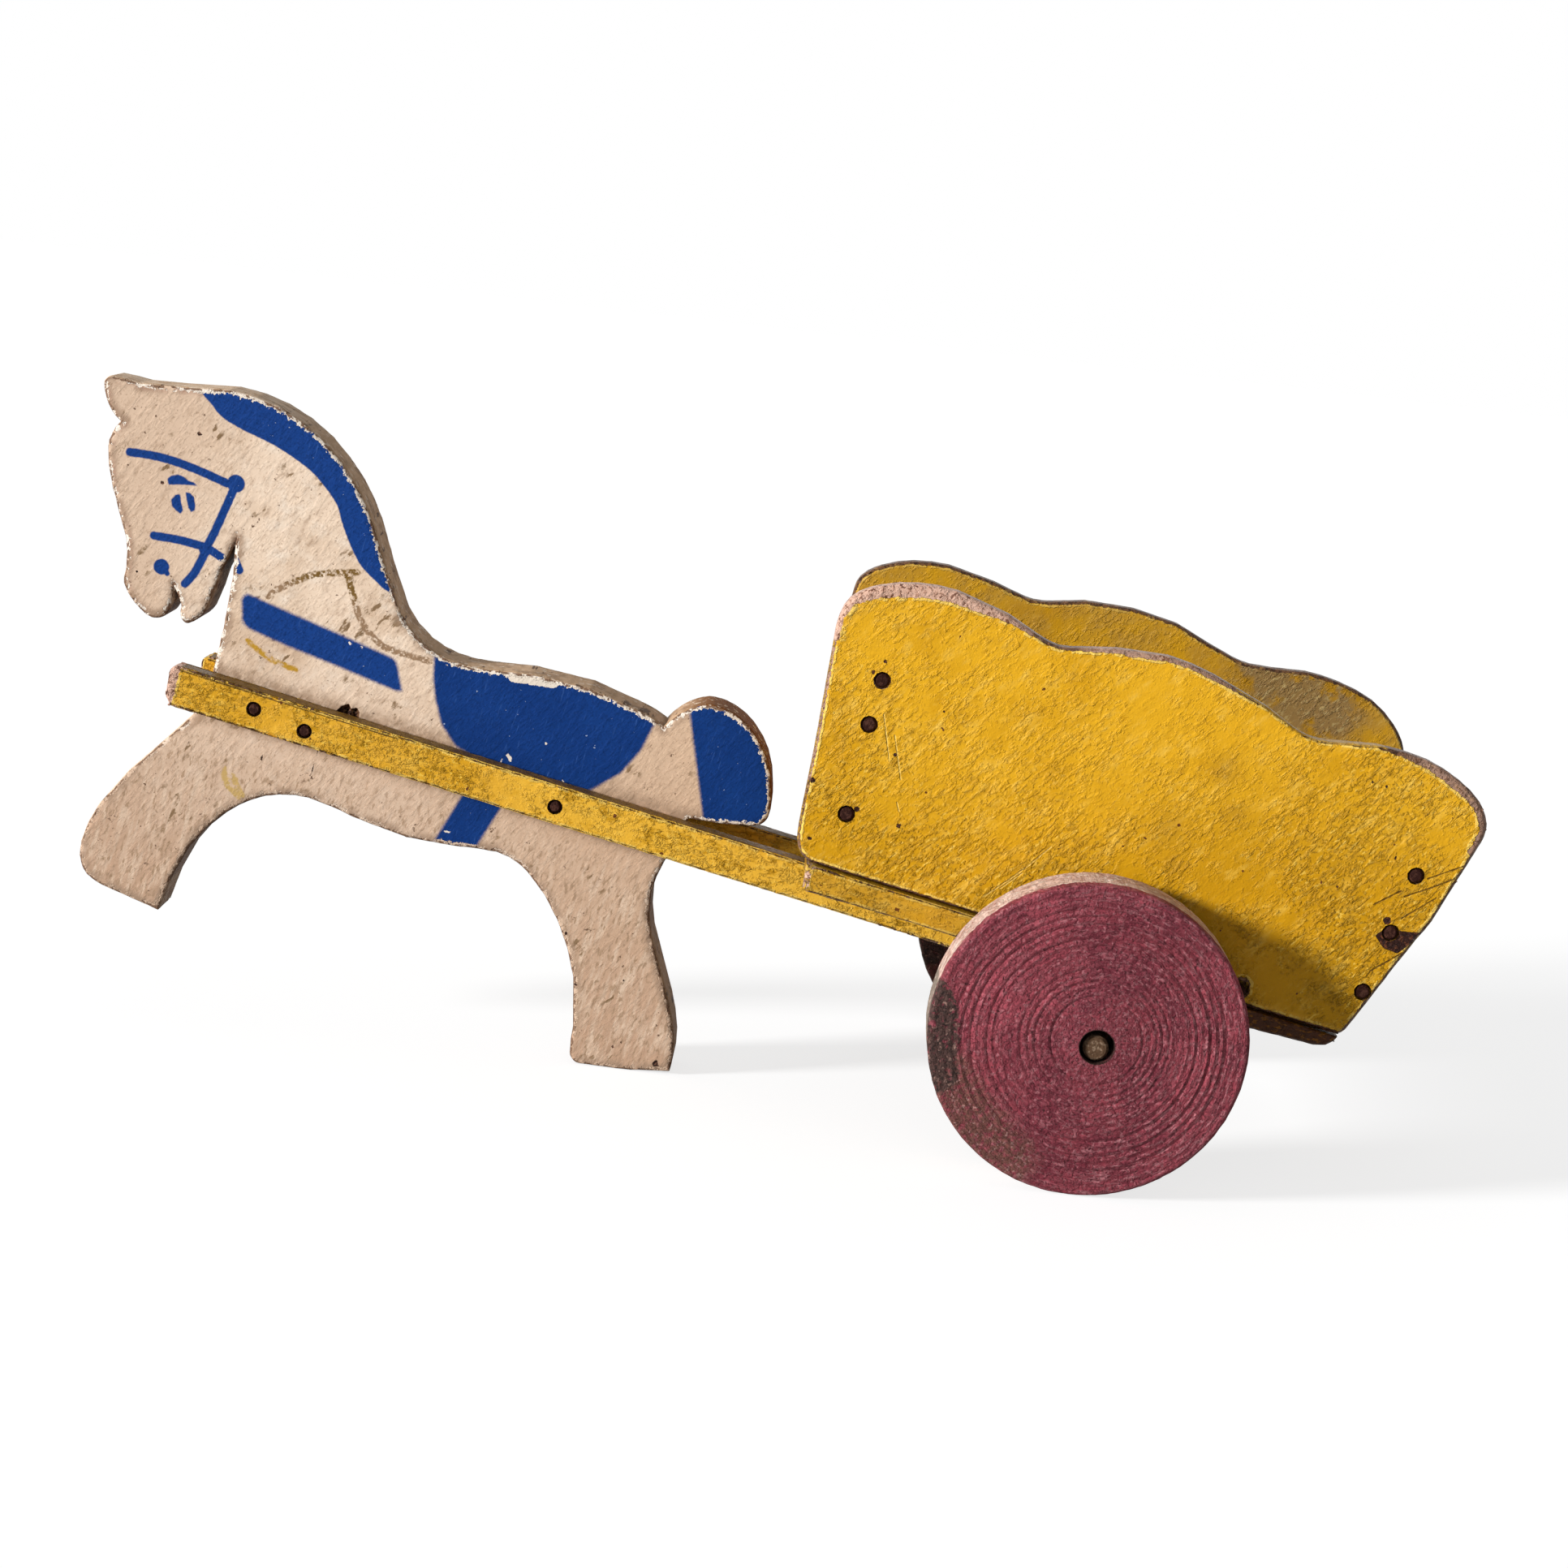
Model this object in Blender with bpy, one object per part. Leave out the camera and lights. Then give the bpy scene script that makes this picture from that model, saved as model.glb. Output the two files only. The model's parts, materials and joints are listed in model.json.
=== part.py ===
"""Wooden horse and cart pull toy.

A flat wooden horse stands between two shafts that run back under a small cart with two
loose wheels. The toy is built level, in its own frame, in millimetres: X runs back along
the shafts, Y to the horse's right, and Z up from the shafts' undersides. An empty then
tips the whole toy nose up until the rear hoof and both wheels touch the ground.
"""
import math

import bmesh
import bpy
from mathutils import Matrix, Vector

MM = 0.001
GAP = 0.3                   # clearance that each piece keeps to its neighbours
CORNER = True               # marks an outline point where the edge turns sharply
MAX_TURN = math.radians(11) # most that a curve turns from one point to the next

HORSE_THICK = 12.4
SHAFT_WIDE = 6.0
SHAFT_HIGH = 8.4
SHAFT_TIPS = {"left": -105.9, "right": -103.2}
CART_WIDE = 78.8
SIDE_THICK = 5.0
FLOOR_THICK = 5.7
FLOOR_FALL = 1.6            # the plank is this much thinner at the rear, behind the wheels
FALL_FROM, FALL_TO = 108.0, 126.0
BLOCK_LONG = 17.4           # axle block, along X
BLOCK_WIDE = 72.0
BLOCK_DROP = 8.2            # how far the block hangs below the shafts' undersides
AXLE_X = 99.1               # the wheels' holes, which they turn about
AXLE_Z = -0.1
WHEEL_MIDDLE = (97.2, 0.3)  # the holes were bored a little off the discs' middles
WHEEL_RADIUS = 32.2
WHEEL_THICK = 13.0
WHEEL_CLEAR = 3.8           # air between a sideboard and its wheel
HUB_RADIUS = 3.45           # the wheel's hole
ROD_RADIUS = 2.6
ROD_SHORT = 1.0             # how far the rod's end sits inside the wheel's face
ROD_DROP = 0.5              # the rod lies low in the wheels' loose holes
SMALL_HEAD = 1.25           # head radius of the shafts' nails
LARGE_HEAD = 1.5            # head radius of the cart's nails
NAIL_HEAD_THICK = 0.7
NAIL_SHANK_RADIUS = 0.75
NAIL_POINT_LONG = 2.0
NAIL_SUNK = 0.2             # how far a nail's head lies below the wood's face
NAIL_SIDES = 10
ROD_SIDES = 24
WHEEL_SIDES = 64
ROUNDING = 0.6              # how far sawn edges are worn round
SHAFT_ROUNDING = 0.7
SIDE_ROUNDING = 0.8
END_ROUNDING = 0.5

BLOCK_FRONT = AXLE_X - BLOCK_LONG / 2
SHAFT_Y = HORSE_THICK / 2 + GAP + SHAFT_WIDE / 2
SIDE_Y = (CART_WIDE - SIDE_THICK) / 2
FLOOR_LOW = SHAFT_HIGH + GAP
FLOOR_TOP = FLOOR_LOW + FLOOR_THICK
BOARD_LOW = FLOOR_TOP + GAP
REAR_FLOOR = FLOOR_TOP - FLOOR_FALL
REAR_LOW = BOARD_LOW - FLOOR_FALL
INNER_WIDE = CART_WIDE - 2 * (SIDE_THICK + GAP)
WHEEL_Y = CART_WIDE / 2 + WHEEL_CLEAR + WHEEL_THICK / 2

HORSE_OUTLINE = [
    # ear, forehead and muzzle
    (-135.9, 60.7), (-133.7, 56.4), (-130.5, 53.9, CORNER), (-131.7, 48.0), (-128.5, 39.9),
    (-123.0, 30.2), (-121.6, 25.0), (-121.1, 21.1), (-117.7, 17.6), (-113.4, 15.7), (-110.7, 17.3),
    (-110.2, 22.9, CORNER),
    # lower jaw, throat and chest
    (-108.3, 20.4), (-107.6, 17.6), (-105.7, 16.8), (-102.8, 20.6), (-101.9, 29.5),
    (-100.5, 35.6, CORNER), (-99.3, 29.5), (-98.3, 18.0), (-97.9, 6.0), (-99.7, -1.9),
    # front leg
    (-104.4, -9.6), (-109.7, -17.9), (-114.0, -27.0), (-115.6, -36.0), (-113.6, -41.8),
    (-108.7, -44.1), (-95.5, -45.8, CORNER), (-92.9, -30.5), (-87.1, -20.4), (-79.9, -14.3),
    # belly
    (-71.0, -11.9), (-60.0, -13.1), (-48.5, -13.8), (-38.0, -12.5), (-29.0, -11.0),
    # hind leg
    (-21.6, -13.1), (-12.3, -21.5), (-5.4, -32.7), (-2.3, -43.3), (-1.3, -49.2), (1.2, -50.9),
    (20.8, -46.5, CORNER), (19.7, -39.5), (16.1, -31.7), (8.0, -18.2), (5.3, -9.5), (6.0, -2.1),
    # tail
    (8.4, 8.7, CORNER), (22.4, 11.5), (24.4, 14.0), (23.5, 19.5), (20.3, 26.5), (13.6, 32.4),
    (6.0, 33.9), (1.0, 31.4), (-2.7, 26.4, CORNER),
    # rump, back and neck
    (-8.0, 27.9), (-20.0, 29.4), (-33.0, 28.6), (-43.5, 26.5), (-50.0, 26.2), (-56.3, 27.8),
    (-62.8, 32.5), (-68.6, 41.0), (-73.5, 49.0), (-79.5, 56.2), (-88.5, 62.9), (-99.0, 66.8),
    (-110.0, 67.2), (-121.0, 64.5), (-128.5, 62.9), (-134.7, 62.5),
]

# The two sideboards were sawn by hand, so their front edges and humps differ a little.
SIDE_TOP_LEFT = [(34.4, BOARD_LOW), (31.5, 16.2), (29.9, 19.5), (29.2, 25.0), (27.8, 38.0),
                 (26.0, 52.0), (24.6, 62.5), (25.7, 68.7), (30.7, 72.8), (38.0, 75.5), (46.0, 76.4),
                 (57.0, 75.0), (64.0, 72.8), (68.5, 72.0), (73.0, 73.1), (80.0, 75.1), (90.0, 76.7),
                 (100.0, 75.8), (111.9, 73.0), (118.5, 70.6), (122.0, 69.8), (126.0, 70.1),
                 (135.8, 72.3), (146.2, 72.4), (153.6, 70.5), (158.9, 67.6), (161.8, 63.9),
                 (162.1, 59.8)]
SIDE_TOP_RIGHT = [(34.4, BOARD_LOW), (32.0, 17.2), (31.0, 23.0), (29.7, 38.0), (28.8, 52.0),
                  (28.5, 60.3), (29.0, 64.6), (32.9, 68.5), (39.4, 71.6), (47.5, 73.1), (58.0, 72.6),
                  (64.0, 71.7), (67.8, 71.4), (72.0, 72.3), (79.0, 74.7), (90.0, 76.3), (100.5, 76.0),
                  (109.0, 73.8), (115.0, 72.5), (119.0, 72.2), (124.0, 72.9), (131.5, 74.4),
                  (139.5, 74.4), (148.1, 72.7), (154.3, 69.0), (158.1, 64.7), (159.8, 58.5)]

# Down a sideboard's rear edge and back along its foot, which lies on the plank.
SIDE_REAR = [(158.2, 41.4), (154.4, 30.6), (151.4, 21.2), (149.9, 16.6), (149.1, 14.5),
             (147.9, REAR_LOW, CORNER), (FALL_TO, REAR_LOW, CORNER), (FALL_FROM, BOARD_LOW, CORNER),
             (60.0, BOARD_LOW, CORNER)]

# The boards that close the cart's ends, from the side: the front one leans forwards, and
# the rear one is planed off low down, in line with the sideboards' rounded corners.
FRONT_BOARD = [(35.7, BOARD_LOW), (41.7, BOARD_LOW), (39.4, 60.0), (33.4, 60.0)]
REAR_BOARD = [(145.2, REAR_LOW), (147.3, REAR_LOW), (150.8, 20.8), (154.2, 58.0), (148.2, 58.0)]
FLOOR_OUTLINE = [(33.4, FLOOR_TOP), (34.3, FLOOR_LOW), (130.0, FLOOR_LOW), (143.9, 9.4), (146.3, 10.2),
                 (147.8, 11.5), (148.2, REAR_FLOOR), (FALL_TO, REAR_FLOOR), (FALL_FROM, FLOOR_TOP)]
BLOCK_OUTLINE = [(BLOCK_FRONT, -BLOCK_DROP), (BLOCK_FRONT + BLOCK_LONG, -BLOCK_DROP),
                 (BLOCK_FRONT + BLOCK_LONG, SHAFT_HIGH), (BLOCK_FRONT, SHAFT_HIGH)]

# Where the nails go in: X and Z on the shafts and sideboards, X and Y on the floor.
SHAFT_NAILS = [(-86.4, 4.7), (-74.9, 3.4), (-19.6, 3.9)]
FRONT_NAILS = [(36.8, 54.8), (37.0, 45.5), (38.2, 26.6)]
REAR_NAILS = [(151.7, 49.4), (150.8, 36.7), (149.6, 23.3)]
EDGE_NAIL = (125.8, 16.5)
FLOOR_TO_SHAFT_NAILS = [50.0, 79.0]
FLOOR_TO_BLOCK_NAILS = [(91.7, -26.0), (103.3, 0.0), (91.7, 26.0)]
SHAFT_NAIL_LONG = 12.0
SIDE_NAIL_LONG = 20.0
EDGE_NAIL_LONG = 8.5
EDGE_NAIL_TILT = math.radians(45)
FLOOR_NAIL_LONG = 12.5
BLOCK_NAIL_LONG = 18.0
FAR_NAIL_SHIFT = 5.0        # the far shaft's nails miss the near ones inside the horse

YELLOW_PAINT = (0.72, 0.42, 0.035)
CREAM_PAINT = (0.72, 0.55, 0.40)
CRIMSON_DYE = (0.20, 0.035, 0.055)
BARE_WOOD = (0.45, 0.30, 0.19)
RUSTY_IRON = (0.06, 0.035, 0.025)


def clear_scene():
    for thing in list(bpy.data.objects):
        bpy.data.objects.remove(thing, do_unlink=True)


def material(name, colour, roughness, metallic=0.0):
    made = bpy.data.materials.new(name)
    made.use_nodes = True
    shader = made.node_tree.nodes["Principled BSDF"]
    shader.inputs["Base Color"].default_value = (*colour, 1.0)
    shader.inputs["Roughness"].default_value = roughness
    shader.inputs["Metallic"].default_value = metallic
    return made


def place(name, mesh_data, finish, location=(0.0, 0.0, 0.0), turn=None):
    """Put a finished mesh into the toy, at a place given in millimetres."""
    thing = bpy.data.objects.new(name, mesh_data)
    thing.data.materials.clear()
    thing.data.materials.append(finish)
    thing.parent = toy_frame
    thing.location = Vector(location) * MM
    if turn is not None:
        thing.rotation_mode = "QUATERNION"
        thing.rotation_quaternion = turn
    bpy.context.scene.collection.objects.link(thing)
    return thing


def unit(vector):
    return vector.normalized() if vector.length > 0 else vector


def curve_through(points):
    """Points along a closed outline that is smooth except where it is marked CORNER."""
    spots = [Vector(point[:2]) for point in points]
    corner = [len(point) > 2 for point in points]
    count = len(spots)
    outline = []
    for i in range(count):
        start, end = spots[i], spots[(i + 1) % count]
        chord = end - start
        leave = unit(chord) if corner[i] else unit(end - spots[i - 1])
        arrive = unit(chord) if corner[(i + 1) % count] else unit(spots[(i + 2) % count] - start)
        if corner[i] and not corner[(i + 1) % count]:
            leave = unit(2 * unit(chord) - arrive)
        if corner[(i + 1) % count] and not corner[i]:
            arrive = unit(2 * unit(chord) - leave)
        turn = leave.angle(chord) + arrive.angle(chord)
        steps = max(1, math.ceil(turn / MAX_TURN))
        for step in range(steps):
            t = step / steps
            outline.append((2 * t**3 - 3 * t**2 + 1) * start + (3 * t**2 - 2 * t**3) * end
                           + chord.length * ((t**3 - 2 * t**2 + t) * leave + (t**3 - t**2) * arrive))
    return outline


def slab(name, outline, wide, rounding):
    """A board: an outline in X and Z, given a width along Y, with its edges rounded off."""
    shape = bmesh.new()
    rim = [shape.verts.new(Vector((x, -wide / 2, z)) * MM) for x, z in outline]
    face = shape.faces.new(rim)
    swept = bmesh.ops.extrude_face_region(shape, geom=[face])
    moved = [item for item in swept["geom"] if isinstance(item, bmesh.types.BMVert)]
    bmesh.ops.translate(shape, verts=moved, vec=Vector((0.0, wide * MM, 0.0)))
    bmesh.ops.recalc_face_normals(shape, faces=shape.faces)
    rims = [edge for edge in shape.edges
            if abs(edge.verts[0].co.y - edge.verts[1].co.y) < 0.1 * MM]
    bmesh.ops.bevel(shape, geom=rims, offset=rounding * MM, offset_type="OFFSET", segments=2,
                    profile=0.5, affect="EDGES", clamp_overlap=True)
    return finished(name, shape, 40)


def turned(name, profile, sides, closed=False):
    """A solid turned about Z, from points of radius and height; closed makes a ring."""
    shape = bmesh.new()
    rings = []
    for radius, height in profile:
        if radius == 0:
            rings.append([shape.verts.new((0.0, 0.0, height * MM))])
            continue
        angles = [2 * math.pi * side / sides for side in range(sides)]
        rings.append([shape.verts.new(Vector((radius * math.cos(a), radius * math.sin(a), height)) * MM)
                      for a in angles])
    pairs = list(zip(rings, rings[1:]))
    if closed:
        pairs.append((rings[-1], rings[0]))
    for low, high in pairs:
        for side in range(sides):
            corners = [low[side % len(low)], low[(side + 1) % len(low)],
                       high[(side + 1) % len(high)], high[side % len(high)]]
            shape.faces.new(list(dict.fromkeys(corners)))
    bmesh.ops.recalc_face_normals(shape, faces=shape.faces)
    return finished(name, shape, 35)


def finished(name, shape, sharp_degrees):
    data = bpy.data.meshes.new(name)
    shape.to_mesh(data)
    shape.free()
    data.shade_smooth()
    data.set_sharp_from_angle(angle=math.radians(sharp_degrees))
    return data


def nail_profile(nail):
    """A wire nail standing on its point, its head's underside at height 0."""
    return [(0, NAIL_HEAD_THICK), (nail.head * 0.75, NAIL_HEAD_THICK), (nail.head, NAIL_HEAD_THICK * 0.6),
            (nail.head, 0), (NAIL_SHANK_RADIUS, 0), (NAIL_SHANK_RADIUS, NAIL_POINT_LONG - nail.long),
            (0, -nail.long)]


def pocket_profile(nail):
    """The hole that a nail fills: its own shape with the gap all round, open above."""
    head = nail.head + GAP
    shank = NAIL_SHANK_RADIUS + GAP
    mouth = 3 * NAIL_HEAD_THICK
    return [(0, mouth), (head, mouth), (head, -GAP), (shank, -GAP),
            (shank, NAIL_POINT_LONG - nail.long - GAP), (0, -nail.long - GAP)]


class Nail:
    def __init__(self, name, head, spot, inward, long, pieces):
        self.name = name
        self.head = head
        self.spot = Vector(spot) + (NAIL_HEAD_THICK + NAIL_SUNK) * Vector(inward)
        self.turn = (-Vector(inward)).to_track_quat("Z", "Y")
        self.long = long
        self.pieces = pieces


def all_nails():
    """Every nail: where its head lies, which way it is driven, and what it goes through."""
    nails = []
    for side, y in (("left", -1), ("right", 1)):
        inward = (0, -y, 0)
        shift = 0 if side == "left" else FAR_NAIL_SHIFT
        for number, (x, z) in enumerate(SHAFT_NAILS, 1):
            face = y * (SHAFT_Y + SHAFT_WIDE / 2)
            nails.append(Nail(f"shaft_nail_{side}_{number}", SMALL_HEAD, (x + shift, face, z), inward,
                              SHAFT_NAIL_LONG, [f"shaft_{side}", "horse_body"]))
        outer = y * CART_WIDE / 2
        for end, spots in (("front", FRONT_NAILS), ("rear", REAR_NAILS)):
            for number, (x, z) in enumerate(spots, 1):
                nails.append(Nail(f"{end}_nail_{side}_{number}", LARGE_HEAD, (x, outer, z), inward,
                                  SIDE_NAIL_LONG, [f"cart_side_{side}", f"cart_{end}_board"]))
        down = (0, -y * math.cos(EDGE_NAIL_TILT), -math.sin(EDGE_NAIL_TILT))
        nails.append(Nail(f"edge_nail_{side}", SMALL_HEAD, (EDGE_NAIL[0], outer, EDGE_NAIL[1]), down,
                          EDGE_NAIL_LONG, [f"cart_side_{side}", "cart_floor"]))
        for number, x in enumerate(FLOOR_TO_SHAFT_NAILS, 1):
            nails.append(Nail(f"floor_nail_{side}_{number}", LARGE_HEAD, (x, y * SHAFT_Y, FLOOR_TOP),
                              (0, 0, -1), FLOOR_NAIL_LONG, ["cart_floor", f"shaft_{side}"]))
    for number, (x, y) in enumerate(FLOOR_TO_BLOCK_NAILS, 1):
        nails.append(Nail(f"block_nail_{number}", LARGE_HEAD, (x, y, FLOOR_TOP), (0, 0, -1),
                          BLOCK_NAIL_LONG, ["cart_floor", "axle_block"]))
    return nails


def cut_holes(piece, nails, bore=None):
    """Cut a piece's nail holes, and the axle block's bore, with one hidden cutter."""
    cutter = bmesh.new()
    for nail in nails:
        if piece.name in nail.pieces:
            hole = turned("hole", pocket_profile(nail), NAIL_SIDES)
            add_to(cutter, hole, Matrix.Translation(nail.spot * MM) @ nail.turn.to_matrix().to_4x4())
    if bore is not None:
        hole = turned("bore", [(0, -BLOCK_WIDE), (bore, -BLOCK_WIDE), (bore, BLOCK_WIDE), (0, BLOCK_WIDE)],
                      ROD_SIDES)
        add_to(cutter, hole, rod_place())
    data = bpy.data.meshes.new(f"holes_in_{piece.name}")
    cutter.to_mesh(data)
    cutter.free()
    tool = place(f"holes_in_{piece.name}", data, piece.data.materials[0])
    tool.hide_render = True
    tool.display_type = "WIRE"
    drilled = piece.modifiers.new("nail holes", "BOOLEAN")
    drilled.operation = "DIFFERENCE"
    drilled.solver = "EXACT"
    drilled.object = tool


def add_to(shape, mesh_data, where):
    """Add a mesh to a bmesh, moved to its place."""
    mesh_data.transform(where)
    shape.from_mesh(mesh_data)
    bpy.data.meshes.remove(mesh_data)


def rod_place():
    across = Matrix.Rotation(math.radians(90), 4, "X")
    return Matrix.Translation(Vector((AXLE_X, 0.0, AXLE_Z - ROD_DROP)) * MM) @ across


def stand_angle(outline):
    """How far the toy tips back before the ground touches both its wheels and a hoof.

    For each point of the horse, the ground is the line through it that runs under the
    wheel's circle; the steepest of these lines has the whole toy above it.
    """
    steepest = -math.pi
    for point in outline:
        reach = Vector(WHEEL_MIDDLE) - point
        if reach.length > WHEEL_RADIUS and reach.x > 0:
            lift = math.atan2(reach.y, reach.x) - math.asin(WHEEL_RADIUS / reach.length)
            steepest = max(steepest, lift)
    return steepest


def make_horse(paint):
    return place("horse_body", slab("horse_body", curve_through(HORSE_OUTLINE), HORSE_THICK, ROUNDING),
                 paint)


def make_shafts(paint):
    for side, y in (("left", -SHAFT_Y), ("right", SHAFT_Y)):
        tip = SHAFT_TIPS[side]
        outline = [(tip + 0.5, 2.0), (tip + 1.9, 0.0), (BLOCK_FRONT - GAP, 0.0),
                   (BLOCK_FRONT - GAP, SHAFT_HIGH), (tip + 1.2, SHAFT_HIGH + 0.4), (tip, SHAFT_HIGH - 0.8)]
        yield place(f"shaft_{side}", slab(f"shaft_{side}", outline, SHAFT_WIDE, SHAFT_ROUNDING), paint,
                    (0, y, 0))


def make_cart(paint):
    for side, y, top in (("left", -SIDE_Y, SIDE_TOP_LEFT), ("right", SIDE_Y, SIDE_TOP_RIGHT)):
        outline = curve_through(top + SIDE_REAR)
        yield place(f"cart_side_{side}", slab(f"cart_side_{side}", outline, SIDE_THICK, SIDE_ROUNDING),
                    paint, (0, y, 0))
    for end, outline in (("front", FRONT_BOARD), ("rear", REAR_BOARD)):
        yield place(f"cart_{end}_board", slab(f"cart_{end}_board", outline, INNER_WIDE, END_ROUNDING),
                    paint)
    yield place("cart_floor", slab("cart_floor", FLOOR_OUTLINE, CART_WIDE, ROUNDING), paint)


def make_block(wood):
    return place("axle_block", slab("axle_block", BLOCK_OUTLINE, BLOCK_WIDE, ROUNDING), wood)


def make_rod(iron):
    half = WHEEL_Y + WHEEL_THICK / 2 - ROD_SHORT
    dome = 0.5
    profile = [(0, -half), (ROD_RADIUS - dome, -half), (ROD_RADIUS, -half + dome),
               (ROD_RADIUS, half - dome), (ROD_RADIUS - dome, half), (0, half)]
    where = rod_place()
    return place("axle_rod", turned("axle_rod", profile, ROD_SIDES), iron, where.translation / MM,
                 where.to_quaternion())


def make_wheels(dye):
    half = WHEEL_THICK / 2
    edge = 1.4
    lip = 0.4
    face = [(HUB_RADIUS, half - lip), (HUB_RADIUS + lip, half), (WHEEL_RADIUS - edge, half),
            (WHEEL_RADIUS - edge * 0.3, half - edge * 0.3), (WHEEL_RADIUS, half - edge)]
    profile = face + [(radius, -height) for radius, height in reversed(face)]
    across = Matrix.Rotation(math.radians(90), 4, "X").to_quaternion()
    off_hole = Vector((WHEEL_MIDDLE[0] - AXLE_X, WHEEL_MIDDLE[1] - AXLE_Z, 0.0)) * MM
    for side, y in (("left", -WHEEL_Y), ("right", WHEEL_Y)):
        disc = turned(f"wheel_{side}", profile, WHEEL_SIDES, closed=True)
        for vert in disc.vertices:
            if vert.co.xy.length > WHEEL_RADIUS / 2 * MM:
                vert.co += off_hole
        yield place(f"wheel_{side}", disc, dye, (AXLE_X, y, AXLE_Z), across)


def make_nails(nails, iron):
    for nail in nails:
        place(nail.name, turned(nail.name, nail_profile(nail), NAIL_SIDES), iron, nail.spot, nail.turn)


def stand_on_ground(frame):
    """Tip the toy back, then set its lowest point on Z = 0 and its middle on X = 0."""
    frame.rotation_euler = (0.0, stand_angle(curve_through(HORSE_OUTLINE)), 0.0)
    bpy.context.view_layer.update()
    spots = [thing.matrix_world @ vert.co for thing in bpy.data.objects
             if thing.type == "MESH" and not thing.hide_render for vert in thing.data.vertices]
    middle = (min(spot.x for spot in spots) + max(spot.x for spot in spots)) / 2
    frame.location = (-middle, 0.0, -min(spot.z for spot in spots))
    bpy.context.view_layer.update()


clear_scene()
toy_frame = bpy.data.objects.new("toy_frame", None)
bpy.context.scene.collection.objects.link(toy_frame)

yellow = material("yellow paint", YELLOW_PAINT, 0.5)
cream = material("cream paint", CREAM_PAINT, 0.6)
crimson = material("crimson dye", CRIMSON_DYE, 0.75)
bare = material("bare wood", BARE_WOOD, 0.7)
iron = material("rusty iron", RUSTY_IRON, 0.6, 0.6)

nails = all_nails()
wooden = [make_horse(cream), *make_shafts(yellow), *make_cart(yellow)]
for piece in wooden:
    cut_holes(piece, nails)
cut_holes(make_block(bare), nails, ROD_RADIUS + GAP)
make_rod(iron)
list(make_wheels(crimson))
make_nails(nails, iron)
stand_on_ground(toy_frame)
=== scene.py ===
"""Looks of the wooden horse and cart pull toy.

Each board of the toy is a copy of its CAD board, in the toy's own frame and in
millimetres, cut into cells fine enough to carry the worn edges and the paint's relief.
The paint itself is made of shader nodes, which read where each point lies and how far it
is from the stencilled shapes, the sawn edges and the nails.
"""

import json
import math
import random

import bmesh
import bpy
import numpy as np
from mathutils import Matrix, Vector, kdtree


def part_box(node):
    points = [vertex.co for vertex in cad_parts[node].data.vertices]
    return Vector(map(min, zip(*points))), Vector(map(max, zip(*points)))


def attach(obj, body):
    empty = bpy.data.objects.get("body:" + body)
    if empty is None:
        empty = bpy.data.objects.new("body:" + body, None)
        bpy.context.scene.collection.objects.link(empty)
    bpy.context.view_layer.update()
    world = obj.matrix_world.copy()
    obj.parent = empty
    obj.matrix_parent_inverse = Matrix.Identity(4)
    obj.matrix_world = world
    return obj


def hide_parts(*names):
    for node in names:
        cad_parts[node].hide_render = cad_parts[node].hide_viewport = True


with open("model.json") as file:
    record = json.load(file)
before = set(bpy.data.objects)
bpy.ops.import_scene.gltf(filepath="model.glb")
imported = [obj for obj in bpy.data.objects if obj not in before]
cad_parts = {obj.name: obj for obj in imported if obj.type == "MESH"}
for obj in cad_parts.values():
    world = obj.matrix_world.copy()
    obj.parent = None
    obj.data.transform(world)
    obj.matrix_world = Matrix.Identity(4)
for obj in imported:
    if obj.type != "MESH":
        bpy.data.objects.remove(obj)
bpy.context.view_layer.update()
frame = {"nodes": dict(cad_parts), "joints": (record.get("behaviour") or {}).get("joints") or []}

MM = 0.001                  # one millimetre in the frame's metres
IMAGE_SIDE = 1932           # the photograph's width and height in pixels

# The camera that fits the photograph, in the toy's own frame: millimetres and radians.
CAMERA_PLACE = Vector((5.2, -610.5, 140.5))
CAMERA_AZIMUTH = 0.0335
CAMERA_DOWN = 0.1932
CAMERA_ROLL = 0.3093
CAMERA_FOCAL = 3553.6       # pixels
SENSOR_WIDE = 36.0

# Sizes of the toy, in millimetres, as the CAD has them.
AXLE = Vector((99.1, -49.7, -0.1))
WHEEL_MIDDLE = (97.2, 0.3)
RING_MIDDLE = (98.9, 1.2)   # the lathe's rings run round the hole more than round the rim
WHEEL_RADIUS = 32.2
WHEEL_THICK = 13.0
HUB_RADIUS = 3.45
CART_FACE = 39.4            # the sideboards' outer and inner faces, from the toy's middle
CART_INNER = 34.4
SHAFT_HIGH = 8.4
NAIL_HEAD = 1.5             # a nail head's radius
SIDE_FOOT = [(108.0, 14.7), (126.0, 13.1)]     # a sideboard's foot drops behind the wheel
Y_AXIS, Z_AXIS = 1, 2       # the ways that nails run: through the sides, or down

# Which part of a board a place lies on, by how deep it is under a sideboard's face.
ON_OUTER = 0.6              # no deeper than this is the outer face
ON_INNER = 0.5              # and the inner face
ON_EDGE = 0.3               # deeper than this under both faces is the sawn edge
FLOOR_EDGE = 2.0            # no deeper than this under the outer face is the floor's edge
INSIDE = 3.0                # deeper than this under the outer face is the cart's inside

# Turning of the wheel.
WHEEL_RINGS = 64
RING_CUT = (0.35, 1.0, 0.5, 0.0)    # how deep each ring of a lathe groove is cut
RIM_ROUNDING = 1.1
RING_ROUND = 9.0            # the rings' pattern runs on a circle of this radius, to draw it out
RING_PACK = 1.5             # and is packed this much closer across the rings

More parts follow.
